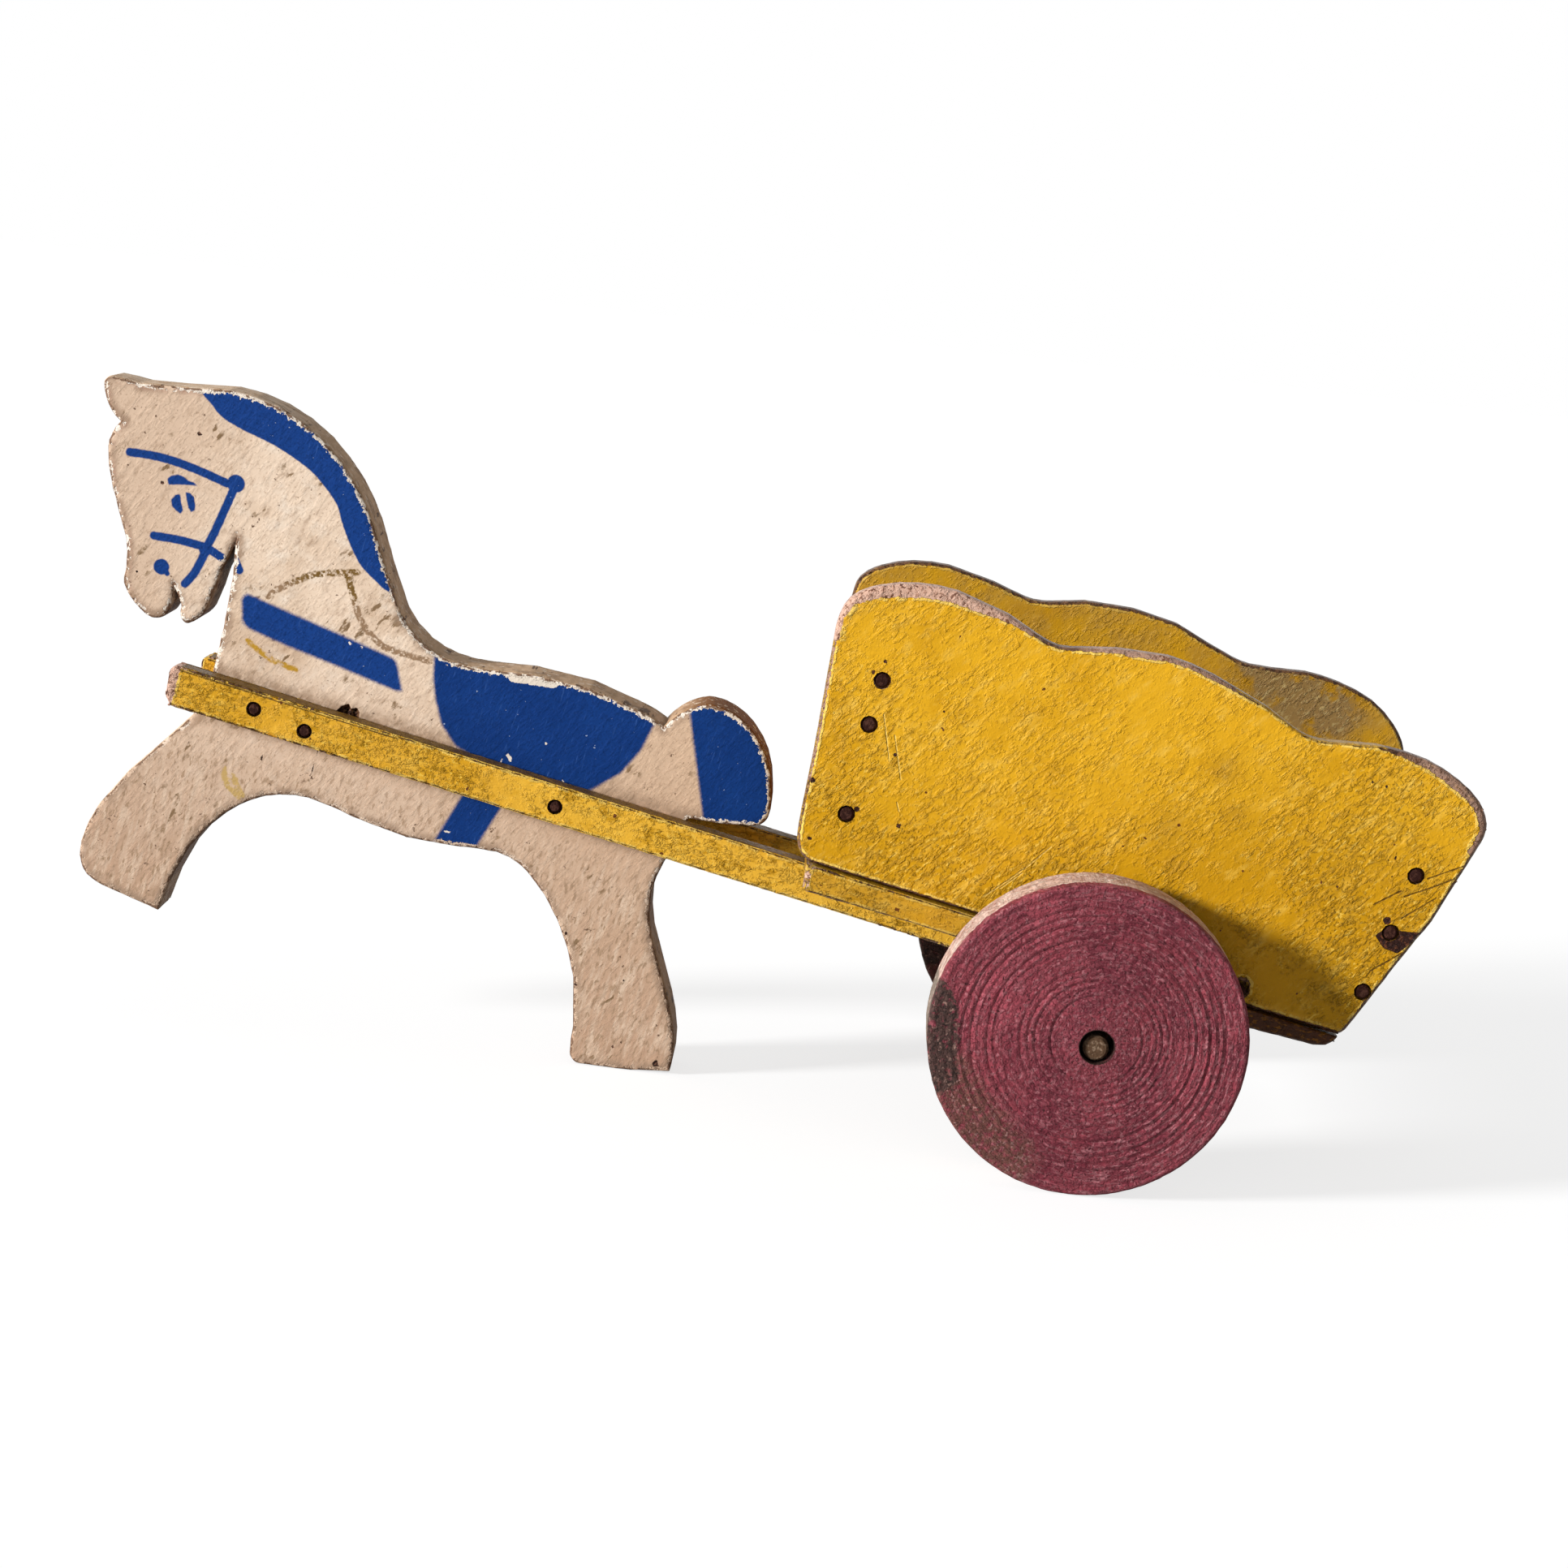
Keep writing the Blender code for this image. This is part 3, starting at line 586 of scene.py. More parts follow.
def cream_oil_paint():
    """Old cream oil paint, brushed on sawn board over a white ground, with blue stencilling:
    chalky, greyer towards the hooves with dirt and with painted shade below the shaft, darker
    in a band of painted shade and dirt along the shaft, and chipped to white and brown at the
    edges. Its sawn edges are painted lighter where they face up and darker where they face down.
    The real paint's grit is under 0.1 mm, too fine to show, and is drawn 0.4 to 0.5 mm wide."""
    made, tree, shader, place = new_material("brushed cream oil paint", 0.65, 0.1)
    facing = surface_facing(tree)
    sawn = off_face(facing, 0.75, 0.45)
    along, _, up = node(tree, "ShaderNodeSeparateXYZ", {0: place}).outputs
    stroke = (0.4, 1.0, 1.0)
    from_shaft = node(tree, "ShaderNodeMath", {0: up, 1: SHAFT_HIGH / 2}, operation="SUBTRACT").outputs[0]
    from_shaft = node(tree, "ShaderNodeMath", {0: from_shaft}, operation="ABSOLUTE").outputs[0]
    legs = ramp(up, 5.0, -15.0)

    cream = coats("F0D7BE",
                  (patches(place, 16, 0.45, 0.75), "D9BCA0"),
                  (patches(place, 5, 0.45, 0.8, 6), "F4E3D0"),
                  (ramp(along, -95.0, -120.0), "DDC0A6"),
                  (ramp(along, -75.0, 6.0), "D9BA9D"),
                  # Darker towards the bottom: dirt towards the hooves, and painted shade below the shaft.
                  (ramp(up, 34.0, -48.0), "C29F84"),
                  (both(legs, patches(place, 3.0, 0.42, 0.7, 6, (2.2, 1.0, 0.35))), "DEC3AA"),
                  (both(legs, patches(place, 1.2, 0.54, 0.64, 5, (1.5, 1.0, 0.5))), "AC8E73"),
                  (patches(place, 1.5, 0.5, 0.85, 6, stroke, BRUSH_RISE), "A88A70"),
                  (patches(place, 0.5, 0.5, 0.9, 3), "A98A70"),
                  (both(patches(place, 8, 0.52, 0.62),
                        patches(place, 1.6, 0.55, 0.62, 5, stroke, BRUSH_RISE)), "8A6F52"),
                  (both(patches(place, 6, 0.5, 0.6), patches(place, 1.1, 0.64, 0.68, 4)), "6E5442"),
                  # Painted shade under the shaft, with some dirt over it: the cream is darker in a band
                  # along the shaft.
                  (both(ramp(from_shaft, SHAFT_HIGH / 2 + 4.0, SHAFT_HIGH / 2),
                        patches(place, 2.0, 0.2, 0.6, 5)), "A88D75"))
    blue = coats("0B3577",
                 (patches(place, 9, 0.4, 0.7), "0F3A7E"),
                 (ramp(along, -52.0, -62.0), "133E85"),
                 (patches(place, 0.4, 0.4, 0.8, 3), "082C64"),
                 (patches(place, 1.6, 0.6, 0.75, 4, (2.5, 1.0, 0.3)), "2F5496"),
                 (patches(place, 1.0, 0.71, 0.73, 4), "A9B6CE"))

    crisp = within("crisp", 0.0, 0.35, place, 0.8, 0.14)
    sprayed = within("soft", 0.0, 1.0, place, 0.35, 0.3)
    stencilled = either(crisp, sprayed)
    chipped = both(within("rim", 0.7, 0.1, place, 1.2, 1.6), patches(place, 3.0, 0.46, 0.5))
    lip = both(within("rim", 0.75, 0.08, place, 0.9, 1.4),
               either(stencilled, patches(place, 3.0, 0.52, 0.56)), patches(place, 2.4, 0.38, 0.44, 4))
    brown_edge = both(within("rim", 0.5, 0.2, place, 1.2, 0.6), patches(place, 2.0, 0.46, 0.52))
    dirty_rim = both(within("rim", 1.6, 1.8, place, 2.0, 0.8), patches(place, 4, 0.35, 0.6))
    flakes = within("flake", 0.0, 0.1, place, 0.9, 0.4)
    scuffs = both(within("scuff", 0.7, 0.4, place, 0.7, 0.5), patches(place, 0.9, 0.36, 0.5))
    smears = both(within("smear", 0.6, 0.4, place, 0.9, 0.45), patches(place, 1.4, 0.3, 0.5))
    holes = within("hole", 0.0, 0.12, place, 0.6, 0.14)
    fibres = patches(place, 1.0, 0.5, 0.6, 3, (0.5, 1.0, 1.6), 0.6)
    hole_inside = coats("24120D", (fibres, "6E4E3E"))
    white = coats("F0E2D2", (ramp(up, 8.0, -20.0), "CDB097"))
    muzzle = both(within("rim", 1.2, 1.6, place, 1.5, 0.8), ramp(along, -110.0, -120.0),
                  patches(place, 3, 0.4, 0.6))
    unstencilled = node(tree, "ShaderNodeMath", {0: 1.0, 1: stencilled}, operation="SUBTRACT").outputs[0]
    face = coats(cream, (both(dirty_rim, unstencilled), "A98D76"),
                 (muzzle, "B7917C"),
                 (stencilled, blue),
                 (scuffs, coats("9A7C60", (ramp(up, 30.0, 34.0), "7C5E30"))),
                 (smears, coats("BE9133", (ramp(up, 0.0, -8.0), "C5A468"))),
                 (chipped, white), (lip, white), (flakes, "EADCCB"),
                 (brown_edge, "80634F"), (holes, hole_inside))
    skyward = node(tree, "ShaderNodeSeparateXYZ", {0: facing}).outputs["Z"]
    # Painted light on the sawn edges: lighter where they face up, with pale chips only there, and darker
    # where they face down, as painted shade.
    edge = coats("6E4523", (ramp(skyward, 0.2, 0.6), "D0AE8C"),
                 (patches(place, 2.6, 0.42, 0.66, 3, (1.0, 0.08, 1.0)), "BA9977"),
                 (patches(place, 5, 0.47, 0.65), "A38468"),
                 (both(patches(place, 9, 0.5, 0.6),
                       patches(place, 1.6, 0.56, 0.6, 3, (1.0, 0.1, 1.0))), "5E4632"),
                 (both(ramp(along, -88.0, -100.0),
                       patches(place, 2.0, 0.4, 0.56, 5, (0.3, 1.0, 1.0))), "DDC2A6"),
                 (both(ramp(along, -4.0, 6.0), ramp(up, 2.0, 8.0)), "78491D"),
                 (ramp(skyward, 0.1, -0.3), "5A3C25"),
                 (both(patches(place, 1.5, 0.58, 0.64, 4), ramp(skyward, 0.2, 0.6)), "E0CBB5"))
    brushed = patches(place, 1.1, 0.42, 0.66, 5, stroke, BRUSH_RISE)
    relief = raised(brushed, either(chipped, holes), -3.0)
    relief = raised(relief, lip, 1.5)
    finish_shader(shader, coats(face, (sawn, edge)), relief, 0.045)
    return made


def yellow_enamel(name, rise, streak, dirt, fleck):
    """Thick yellow enamel, laid on by brush in ridged strokes over sawn board: glossy once,
    now dulled, worn to bare wood along the high edges and dark with flecked dirt in the low.
    A stroke is streak times longer than wide. The finest of the paint's real grain is too
    small to show, and is drawn 0.4 mm wide."""
    made, tree, shader, place = new_material(name, 0.33, 0.12)
    stroke = (1 / streak, 1.0, 1.0)
    along, _, up = node(tree, "ShaderNodeSeparateXYZ", {0: place}).outputs
    film, age, rough = (node(tree, "ShaderNodeAttribute", attribute_name=kept).outputs["Fac"]
                        for kept in ("grime", "age", "rough"))
    rough = both(rough, patches(place, 11, 0.3, 0.6))
    ridges = patches(place, 1.0, 0.46, 0.66, 5, stroke, rise)
    crumbs = patches(place, 0.8, 0.54, 0.68, 4)
    yellow = coats("EBB122",
                   # Painted shade: darker towards the rear and the bottom, round the wheel, deepening the
                   # wheel's shadow.
                   (both(ramp(along, 70.0, 130.0), ramp(up, 75.0, 30.0)), "C18A06"),
                   (ramp(up, 50.0, 14.0), "D19911"),
                   (ramp(up, 15.5, 14.0), "E8AF36"),
                   (patches(place, 20, 0.45, 0.75), "D69C12"),
                   (both(ramp(along, -40.0, -20.0), ramp(up, 9.5, 8.5)), "F0B93C"),
                   (patches(place, 2.4, 0.5, 0.85, 5, stroke, rise), "F6C650"),
                   (patches(place, 0.9, 0.55, 0.85, 3, stroke, rise), "C58C0E"),
                   # In the rough zones, dark streaks are painted shade of the relief, and pale patches are
                   # painted highlight.
                   (both(rough, patches(place, 1.3, 0.5, 0.66, 5, stroke, rise)), "C5911A"),
                   (both(rough, patches(place, 0.7, 0.56, 0.68, 4, stroke, rise)), "F0C24C"))
    grime = both(film, film, patches(place, 7, 0.34, 0.62, 6))
    # The lip is a raised ridge of paint along the bare wood, coloured pale as a painted highlight.
    lip = both(within("bare", 0.6, 0.2, place, 1.1, 0.45), patches(place, 2.0, 0.42, 0.5, 4))
    bare = within("bare", 0.0, 0.12, place, 1.1, 0.6)
    rim_dirt = both(within("rim", 0.25, 0.2, place, 1.5, 0.3), patches(place, 2.5, 0.46, 0.56))
    fresh = coats("DBB29C", (patches(place, 0.8, 0.45, 0.65, 4), "B98B74"),
                  (patches(place, 1.6, 0.58, 0.64, 4), "7C5240"))
    aged = coats("6B482C", (patches(place, 1.2, 0.45, 0.6, 4), "3E2615"),
                 (patches(place, 2.0, 0.58, 0.64, 4), "8D6A3A"))
    wood = coats(fresh, (age, aged))
    # Holes include the dark strip at a sideboard's foot, which is painted shade of its gap over the floor.
    holes = either(within("nail", 0.1, 0.1, place, 0.8, 0.2), within("hole", 0.0, 0.12, place, 0.7, 0.2))
    hole_inside = coats("30160F", (patches(place, 0.9, 0.5, 0.62, 3), "6A3D28"))
    scratch = within("scratch", 0.12, 0.2, place, 0.7, 0.15)
    groove = within("groove", 0.14, 0.2, place, 0.9, 0.2)
    soil = coats(dirt, (patches(place, 0.8, 0.53, 0.62, 4, stroke, rise), fleck))
    face = coats(yellow, (lip, "F7CE62"), (film, "AA7B14"), (grime, soil),
                 (scratch, "F2C964"), (groove, "74500F"),
                 (rim_dirt, "5C3C18"), (bare, wood),
                 (patches(place, 2.3, 0.735, 0.745, 2), "6A3D16"), (holes, hole_inside))

    height = both(rough, raised(ridges, crumbs, 0.9))
    for mask, step in ((patches(place, 0.4, 0.2, 0.8, 2), 0.1), (lip, 0.5),
                       (either(scratch, groove), -0.7), (either(bare, holes), -1.5)):
        height = raised(height, mask, step)
    finish_shader(shader, face, height, 0.24)
    return made


def crimson_stained_wood():
    """Turned hardwood stained with crimson dye: dull and fibrous, with fine lathe rings, which
    are cut deeper on the half towards the rear, where painted highlights and painted shade
    run along them. The wood's real fibres are too fine to show, and are drawn about 1 mm wide."""
    made, tree, shader, place = new_material("crimson stained turned wood", 0.75, 0.25)
    centred = node(tree, "ShaderNodeVectorMath", {0: place, 1: (RING_MIDDLE[0], 0.0, RING_MIDDLE[1])},
                   operation="SUBTRACT").outputs[0]
    flat = node(tree, "ShaderNodeVectorMath", {0: centred, 1: (1.0, 0.0, 1.0)},
                operation="MULTIPLY").outputs[0]
    radius = node(tree, "ShaderNodeVectorMath", {0: flat}, operation="LENGTH").outputs["Value"]
    way = node(tree, "ShaderNodeVectorMath", {0: flat}, operation="NORMALIZE").outputs[0]
    spread = node(tree, "ShaderNodeVectorMath", {0: way, "Scale": RING_ROUND}, operation="SCALE").outputs[0]
    packed = node(tree, "ShaderNodeMath", {0: radius, 1: RING_PACK}, operation="MULTIPLY").outputs[0]
    inward = node(tree, "ShaderNodeCombineXYZ", {"Y": packed}).outputs[0]
    ringed = node(tree, "ShaderNodeVectorMath", {0: spread, 1: inward}, operation="ADD").outputs[0]

    along, side, _ = node(tree, "ShaderNodeSeparateXYZ", {0: place}).outputs
    # Towards the rear the rings' relief is deeper, and their pale and dark colours are painted highlight
    # and painted shade.
    deep_cut_and_painted_light = raised(0.5, ramp(along, 80.0, 112.0), 0.6)
    # The tread is bare from close to the wheel's inner face to about 3 mm from the outer one.
    outward = node(tree, "ShaderNodeMath", {0: side}, operation="ABSOLUTE").outputs[0]
    outward = node(tree, "ShaderNodeMath", {0: outward, 1: AXLE.y}, operation="ADD").outputs[0]
    tread = both(within(outward, WHEEL_THICK / 2 - 3.2, 0.5, place, 2.0, 1.5),
                 ramp(outward, -WHEEL_THICK / 2 + 0.3, -WHEEL_THICK / 2 + 0.8))
    arcs = patches(ringed, 1.4, 0.42, 0.58, 5)
    threads = patches(place, 1.0, 0.44, 0.6, 6)
    dye = coats("8B3944",
                (patches(place, 9, 0.45, 0.6), "782D3A"),
                (patches(place, 14, 0.52, 0.65), "9E4450"),
                (patches(ringed, 1.4, 0.5, 0.68, 5), "AC5963"),
                (patches(place, 1.6, 0.5, 0.7, 5), "A04A55"),
                (both(deep_cut_and_painted_light, patches(ringed, 1.4, 0.54, 0.68, 3)), "652832"),
                (both(deep_cut_and_painted_light, patches(ringed, 0.9, 0.5, 0.74, 6)), "B9787E"),
                (patches(place, 1.1, 0.56, 0.64, 5), "A8656C"),
                (patches(place, 0.8, 0.57, 0.66, 4), "521E26"))
    sooty = both(within("soot", 0.0, 0.8, place, 2.5, 2.5), patches(place, 1.2, 0.32, 0.46, 5))
    dusty = both(within("dust", 0.0, 5.0, place, 4.0, 3.0), patches(place, 1.3, 0.34, 0.56, 6))
    dust = coats("734840", (patches(place, 0.9, 0.56, 0.64, 4), "AC807A"))
    soot = coats("503833", (patches(place, 0.9, 0.5, 0.6, 4), "33231F"),
                 (patches(place, 1.3, 0.58, 0.64, 4), "8A6A60"))
    dye = coats(dye, (dusty, dust), (sooty, soot))
    wood = coats("DCBCAF", (patches(place, 3, 0.4, 0.65, 4), "B88E80"),
                 (patches(place, 1.5, 0.5, 0.62, 4), "E6D2C6"),
                 (patches(place, 1.0, 0.6, 0.66, 4), "8A5B50"),
                 (sooty, "8B7D70"))
    bore = within("bore", 0.2, 0.2, place, 0.8, 0.2)
    height = raised(threads, arcs, deep_cut_and_painted_light)
    finish_shader(shader, coats(dye, (tread, wood), (bore, "3A221A")), height, 0.3)
    return made


def bare_softwood():
    """Softwood left bare, sawn and greyed by age: dry, with brown lines of grain."""
    made, _, shader, place = new_material("weathered sawn softwood", 0.85, 0.2)
    wood = coats("8A6648",
                 (patches(place, 2.0, 0.4, 0.6, 5, (1.0, 0.06, 1.0)), "6E4E36"),
                 (patches(place, 9, 0.45, 0.7), "5A4030"))
    finish_shader(shader, wood, patches(place, 1.0, 0.3, 0.7, 4, (1.0, 0.1, 1.0)), 0.1)
    return made


def rusty_iron(name, colour, shine):
    """Cut or drawn iron gone dark with rust: nearly black brown, rubbed a little brighter. Its
    real grit is too fine to show, and is drawn 0.5 mm wide."""
    made, _, shader, place = new_material(name, 0.75, 0.1)
    rust = coats(colour, (patches(place, 0.9, 0.48, 0.66, 4), shine))
    finish_shader(shader, rust, patches(place, 0.5, 0.3, 0.7, 3), 0.08)
    return made


# Pieces.

def painted_horse(finish):
    """The sawn horse: fine cells round the stencilled shapes, and edges worn uneven."""
    piece, lines = cut_board("horse_body", "horse_board", pitch=2.0)
    splinter = np.array(SPLINTER)

    def mark_distance(spots):
        return np.minimum(abs(crisp_distance(spots)), outline_distance(spots, splinter))

    halve_cells_near(piece, mark_distance, reaches=(1.2, 0.6))
    gaps = line_gaps(piece, lines)
    places = vertex_places(piece)
    spots = places[:, [0, 2]]
    near_side = places[:, 1] < 0
    splintered = np.clip(-outline_distance(spots, splinter) / HOLE_SLOPE, 0, 1) * near_side
    dent(piece, size=1.6, depth=0.35, weights=np.clip(1 - gaps / WORN_REACH, 0, 1))
    dent(piece, size=1.0, depth=2.4, weights=splintered)
    note(piece, "rim", gaps)
    note(piece, "crisp", crisp_distance(spots))
    note(piece, "soft", soft_distance(spots))
    note(piece, "scuff", nearest_line(spots, SCUFFS))
    note(piece, "smear", nearest_line(spots, SMEARS))
    note(piece, "flake", np.minimum.reduce([line_distance(spots, np.array(flake)) - half
                                            for flake, half in zip(FLAKES, FLAKE_HALF)]))
    note(piece, "hole", np.where(near_side, pit_distance(spots, HORSE_PITS, [SPLINTER], [CRACK]), FAR))
    settle(piece, "toy", ["horse_body"], finish)


def painted_board(node_name, name, finish, nails, nail_axis, wear, pitch, halvings, marks=None):
    """A yellow board with relief and worn edges. wear(x, y, z, gaps) gives, vertex by vertex,
    the distance to bare wood, the grime, the bare wood's age and the paint's roughness."""
    piece, lines = cut_board(node_name, name, pitch, halvings)
    if marks is not None:
        pits, outlines, scratched, grooved, smudges = marks
        halve_cells_near(piece, lambda spots: nearest_line(spots, scratched + grooved), reaches=(0.8, 0.4))
    places = vertex_places(piece)
    spots = places[:, [0, 2]]
    gaps = line_gaps(piece, lines)
    bare, grime, age, rough = (np.broadcast_to(values, gaps.shape) for values in wear(*places.T, gaps))
    dent(piece, size=1.6, depth=0.16, weights=np.clip(rough, 0, 1), rise=STROKE_RISE)
    dent(piece, size=1.8, depth=0.45, weights=np.clip(1 - gaps / WORN_REACH, 0, 1))
    holes = np.full(len(places), FAR)
    scratches = holes
    grooves = holes
    if marks is not None:
        outside = abs(places[:, 1]) > CART_FACE - ON_OUTER
        holes = np.where(outside, pit_distance(spots, pits, outlines), FAR)
        scratches = np.where(outside, nearest_line(spots, scratched), FAR)
        grooves = np.where(outside, nearest_line(spots, grooved), FAR)
        for spot in smudges:
            grime = np.maximum(grime, 0.35 * smudge(*spots.T, spot))
    if node_name.startswith("cart_side"):
        # The lowest strip of the foot is painted as dark as a hole: painted shade of the gap over the
        # floor.
        foot = np.interp(places[:, 0], *np.transpose(SIDE_FOOT))
        holes = np.minimum(holes, places[:, 2] - foot - 0.3)
    notes = {"rim": gaps, "bare": bare, "grime": grime, "age": age, "rough": rough, "hole": holes,
             "scratch": scratches, "groove": grooves,
             "nail": nail_gaps(piece, nails, nail_axis) - NAIL_HEAD}
    for kind, values in notes.items():
        note(piece, kind, values)
    settle(piece, "toy", [node_name], finish)


def turned_wheel():
    """The near wheel: a disc with lathe rings on both faces and an off-centre hole."""
    chance = random.Random(4)
    hub = Vector((WHEEL_MIDDLE[0], AXLE.y, WHEEL_MIDDLE[1]))
    bpy.ops.object.select_all(action="DESELECT")
    bpy.ops.mesh.primitive_cylinder_add(vertices=256, radius=WHEEL_RADIUS, depth=WHEEL_THICK, location=hub,
                                        rotation=(math.radians(90), 0.0, 0.0))
    wheel = bpy.context.object
    wheel.name = "turned_wheel_left"
    bpy.ops.object.transform_apply(location=True, rotation=True, scale=True)
    bpy.ops.object.mode_set(mode="EDIT")
    pick(wheel, lambda edge: abs(edge.verts[0].co.y - edge.verts[1].co.y) < 0.01, "edges")
    bpy.ops.mesh.bevel(offset=RIM_ROUNDING, offset_type="OFFSET", segments=4, affect="EDGES",
                       clamp_overlap=False)
    drift = Vector((RING_MIDDLE[0] - WHEEL_MIDDLE[0], 0.0, RING_MIDDLE[1] - WHEEL_MIDDLE[1])) / WHEEL_RINGS
    for way in (-1, 1):
        pick(wheel, lambda face: face.normal.y * way > 0.9 and len(face.verts) > 4)
        level = 0.0
        for ring in range(WHEEL_RINGS):
            step = ring % len(RING_CUT)
            if step == 0:
                depth = chance.uniform(0.12, 0.34)
            target = -depth * RING_CUT[step] - chance.uniform(0.0, 0.03)
            bpy.ops.mesh.inset(thickness=chance.uniform(0.3, 0.48), depth=target - level)
            bpy.ops.transform.translate(value=drift)
            level = target
        last = next(face for face in bmesh.from_edit_mesh(wheel.data).faces if face.select)
        centre = last.calc_center_median()
        radius = (last.verts[0].co - centre).length
        bpy.ops.transform.resize(value=[HUB_RADIUS / radius] * 3, center_override=centre)
        bpy.ops.transform.translate(value=(AXLE.x - centre.x, 0.0, AXLE.z - centre.z))
    pick(wheel, lambda face: len(face.verts) > 4)
    bpy.ops.mesh.bridge_edge_loops(number_cuts=8, interpolation="LINEAR")
    bpy.ops.object.mode_set(mode="OBJECT")
    dent(wheel, size=2.0, depth=0.25)
    spots = vertex_places(wheel)[:, [0, 2]]
    note(wheel, "bore", np.hypot(spots[:, 0] - AXLE.x, spots[:, 1] - AXLE.z) - HUB_RADIUS)
    note(wheel, "soot", nearest_line(spots, [WHEEL_DIRT]) - 4.2)
    note(wheel, "dust", nearest_line(spots, [WHEEL_DUST]) - 6.0)
    return wheel


def add_wheels(finish):
    left = turned_wheel()
    right = bpy.data.objects.new("turned_wheel_right", left.data.copy())
    bpy.context.scene.collection.objects.link(right)
    right.data.transform(Matrix.Translation((0.0, -2 * AXLE.y, 0.0)))
    settle(left, "left_wheel", ["wheel_left"], finish)
    settle(right, "right_wheel", ["wheel_right"], finish)


def on_top_edge(y):
    """Whether a place on a sideboard lies on its sawn edge and not on a face."""
    return (abs(y) < CART_FACE - ON_EDGE) & (abs(y) > CART_INNER + ON_EDGE)


def near_side_wear(x, y, z, gaps):
    """The near sideboard: pale bare wood on the humps, dirty paint in the valley between."""
    # How far each part of the top edge is worn, under 0 where its paint is left; how wide the
    # bare wood is on the faces beside it; and below, how old that wood is.
    worn = np.interp(x, [24, 100, 106, 136, 142, 162], [1, 1, -0.3, -0.3, 1, 1])
    width = np.interp(x, [24, 28, 36, 46, 56, 64, 72, 82, 100, 112, 135, 142, 152, 160, 163],
                      [0.3, 1.8, 2.5, 2.2, 1.3, 0.3, 0.2, 0.8, 0.7, 0.1, 0.1, 1.0, 1.9, 1.6, 0.8])
    front_edge = (x < FRONT_EDGE_X) & (z < FRONT_BARE_FROM)
    down_edge = front_edge | (z < FOOT_TOP) | (x > REAR_EDGE_X) & (z < REAR_BARE_FROM)
    worn = np.where(down_edge, 0.0, worn)
    foot_width = np.where(x > FOOT_REAR_X, 0.6, 0.4)
    width = np.where(front_edge, 0.45, np.where(down_edge, foot_width, width))
    bare = np.where(on_top_edge(y), -worn, gaps - width)
    age = np.interp(x, [24, 48, 60, 66, 72, 76, 100, 110, 138, 146, 160],
                    [0.1, 0.0, 0.25, 0.9, 0.9, 0.45, 0.55, 1.0, 1.0, 0.5, 0.6])
    age = np.where(front_edge, 0.5, np.where(down_edge, 0.85, age))
    grime = np.where(abs(y) < CART_FACE - INSIDE, 0.9, np.where(on_top_edge(y), 0.7, 0.05))
    rough = np.interp(z, [12, 30, 45, 70], [1.5, 1.2, 0.55, 0.45])
    rough = rough + np.interp(x, [24, 60, 115, 135], [0.3, 0.0, 0.0, 0.7])
    return bare, grime, age, rough


def far_side_wear(x, y, z, gaps):
    """The far sideboard: its edge is worn to old dark wood all round."""
    bare = np.where(on_top_edge(y), -1.0, gaps - 0.35)
    grime = np.where(abs(y) < CART_FACE - INSIDE, 0.55, 0.2)
    for spot in FAR_SMUDGES:
        grime = grime + np.where(y < CART_INNER + ON_INNER, 1.5 * smudge(x, z, spot), 0.0)
    return bare, grime, 1.0, 0.6


def shaft_wear(x, y, z, gaps):
    """A shaft: the near one chipped to pale wood at its front end, and both dirty on top."""
    tip = x.min()
    chip = 2.4 if y.mean() < 0 else 0.2
    bare = np.minimum(x - tip - chip, gaps - 0.08)
    grime = np.where((z > SHAFT_HIGH - 0.4) & (gaps > 0.5), 3.0, 0.1)
    return bare, grime, np.where(x < tip + 4.0, 0.1, 0.9), 1.2


def inner_wear(x, y, z, gaps):
    """The floor and the end boards: dirty inside the cart, and the floor's rear blackened."""
    outside = abs(y) > CART_FACE - FLOOR_EDGE
    grime = np.where(outside, np.interp(x, [24, 100, 118, 165], [0.35, 0.4, 5.0, 5.0]), 0.8)
    front_end = outside & (x < x.min() + FRONT_STRIP)
    return np.where(front_end, 0.0, gaps - 0.15), grime, np.where(front_end, 0.0, 0.9), 1.3


def add_pieces():
    painted_horse(cream_oil_paint())
    cart_paint = yellow_enamel("brushed yellow enamel", STROKE_RISE, 2.4, "8C6E40", "A58C5A")
    shaft_paint = yellow_enamel("stippled yellow enamel", SHAFT_RISE, 1.8, "7A5A22", "94701E")
    floor_paint = yellow_enamel("trodden yellow enamel", SHAFT_RISE, 2.2, "4A260D", "80500F")

    for side, wear, marks in (("left", near_side_wear, NEAR_MARKS), ("right", far_side_wear, None)):
        end_nails = [name for name in NAILS if side in name and ("front" in name or "rear" in name)]
        shaft_nails = [name for name in NAILS if name.startswith(f"shaft_nail_{side}")]
        painted_board(f"cart_side_{side}", f"sideboard_{side}", cart_paint, end_nails, Y_AXIS, wear,
                      pitch=2.4, halvings=2, marks=marks)
        painted_board(f"shaft_{side}", f"shaft_bar_{side}", shaft_paint, shaft_nails, Y_AXIS, shaft_wear,
                      pitch=2.0, halvings=2)
    for end in ("front", "rear"):
        painted_board(f"cart_{end}_board", f"{end}_board", cart_paint, [], Y_AXIS, inner_wear,
                      pitch=2.6, halvings=1)
    painted_board("cart_floor", "floor_plank", floor_paint, [], Z_AXIS, inner_wear, pitch=2.6, halvings=1)

    block, _ = cut_board("axle_block", "axle_cross_block", pitch=3.0)
    dent(block, size=2.0, depth=0.2)
    settle(block, "toy", ["axle_block"], bare_softwood())
    add_wheels(crimson_stained_wood())

    heads = rusty_iron("rusted wire nail", "2C140F", "4E3026")
    rod = rusty_iron("rubbed rusty rod", "5A4331", "8C7560")
    for name in NAILS:
        frame["nodes"][name].material_slots[0].material = heads
    frame["nodes"]["axle_rod"].material_slots[0].material = rod


# Camera, floor and light.

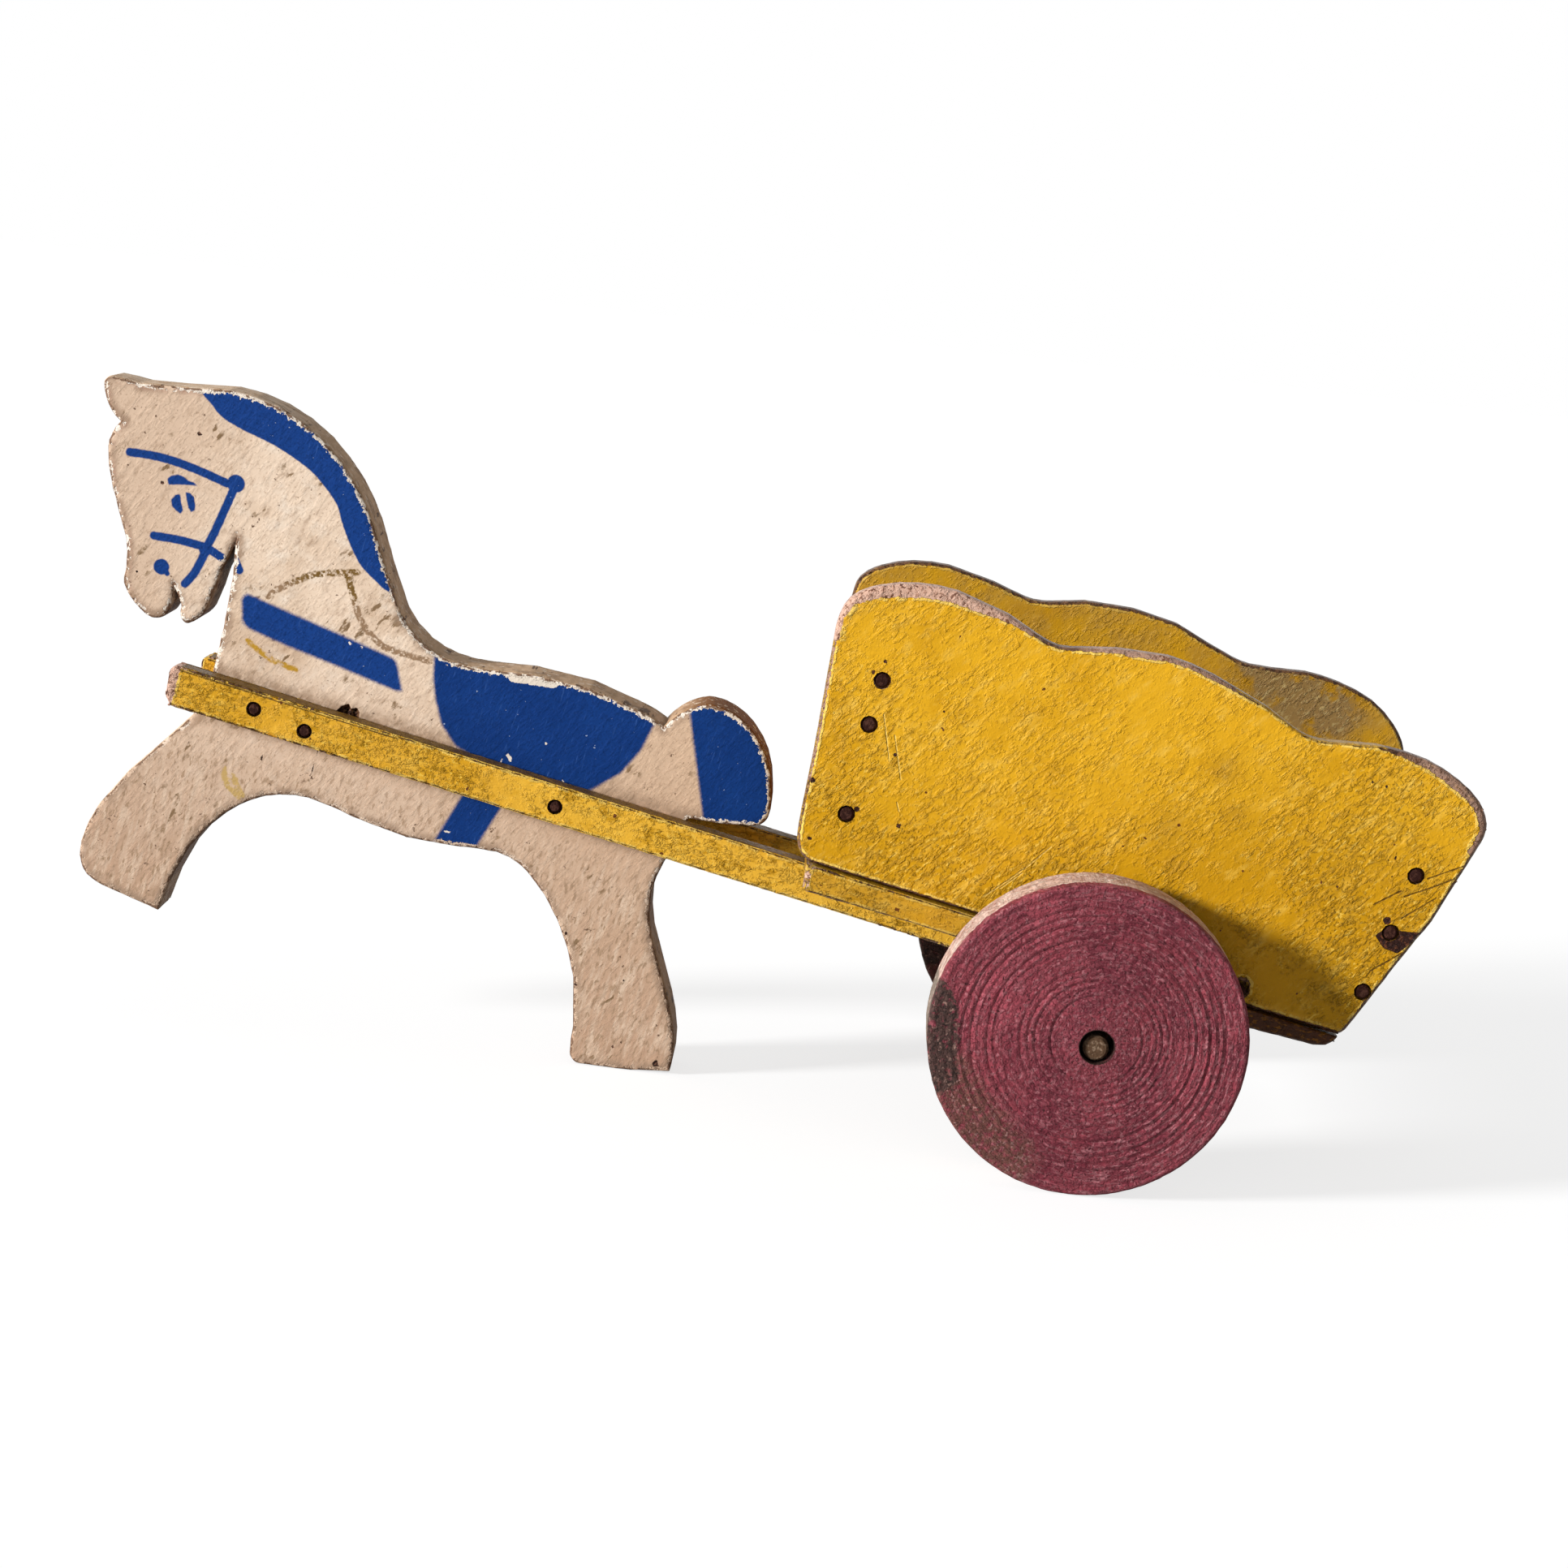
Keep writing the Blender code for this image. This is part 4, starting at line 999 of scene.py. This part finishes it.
def add_camera():
    """The photograph's camera, set by its place and turn in the toy's own frame."""
    forward = Vector((math.sin(CAMERA_AZIMUTH) * math.cos(CAMERA_DOWN),
                      math.cos(CAMERA_AZIMUTH) * math.cos(CAMERA_DOWN), -math.sin(CAMERA_DOWN)))
    level = Vector((math.cos(CAMERA_AZIMUTH), -math.sin(CAMERA_AZIMUTH), 0.0))
    upright = level.cross(forward)
    right = math.cos(CAMERA_ROLL) * level + math.sin(CAMERA_ROLL) * upright
    up = -math.sin(CAMERA_ROLL) * level + math.cos(CAMERA_ROLL) * upright
    turn = Matrix((right, up, -forward)).transposed().to_4x4()
    camera = bpy.data.objects.new("camera", bpy.data.cameras.new("camera"))
    camera.data.sensor_width = SENSOR_WIDE
    camera.data.lens = CAMERA_FOCAL * SENSOR_WIDE / IMAGE_SIDE
    camera.data.clip_start = 0.01
    camera.matrix_world = Matrix.Translation(TOY @ CAMERA_PLACE) @ Matrix.Rotation(NOSE_UP, 4, "Y") @ turn
    bpy.context.scene.collection.objects.link(camera)
    bpy.context.scene.camera = camera


def seen_directly(tree):
    """1 for what the camera sees, straight or in a gloss, and 0 for light on its way."""
    path = node(tree, "ShaderNodeLightPath").outputs
    return either(path["Is Camera Ray"], path["Is Glossy Ray"], path["Is Transmission Ray"])


def add_floor():
    """A wide pale floor that takes the toy's shadow and runs into the white behind it."""
    bpy.ops.object.select_all(action="DESELECT")
    bpy.ops.mesh.primitive_plane_add(size=FLOOR_WIDE, location=(0.0, 0.0, 0.0))
    floor = bpy.context.object
    floor.name = "floor"
    made = bpy.data.materials.new("matt white studio floor")
    made.use_nodes = True
    tree = made.node_tree
    shader = tree.nodes["Principled BSDF"]
    shader.inputs["Base Color"].default_value = srgb("A6A6A6")
    shader.inputs["Roughness"].default_value = 0.9
    shader.inputs["Specular IOR Level"].default_value = 0.0
    shader.inputs["Emission Color"].default_value = (1.0, 1.0, 1.0, 1.0)
    seen = seen_directly(tree)
    lift = node(tree, "ShaderNodeMath", {0: seen, 1: FLOOR_GLOW}, operation="MULTIPLY").outputs[0]
    tree.links.new(lift, shader.inputs["Emission Strength"])
    floor.data.materials.append(made)


def add_light():
    """Low daylight from the left, as from one large window, and a pale sky all round."""
    sun = bpy.data.objects.new("window", bpy.data.lights.new("window", "SUN"))
    sun.data.energy = SUN_STRENGTH
    sun.data.angle = SUN_SPREAD
    travel = TOY.to_3x3() @ LIGHT_TRAVEL
    sun.rotation_euler = travel.to_track_quat("-Z", "Y").to_euler()
    bpy.context.scene.collection.objects.link(sun)
    world = bpy.data.worlds.new("studio")
    world.use_nodes = True
    tree = world.node_tree
    sky = tree.nodes["Background"]
    level = node(tree, "ShaderNodeMapRange", {0: seen_directly(tree), 3: SKY_STRENGTH, 4: 1.0}).outputs[0]
    tree.links.new(level, sky.inputs["Strength"])
    sky.inputs["Color"].default_value = (1.0, 1.0, 1.0, 1.0)
    bpy.context.scene.world = world
    bpy.context.scene.view_settings.view_transform = "Standard"


add_camera()
add_floor()
add_light()
add_pieces()
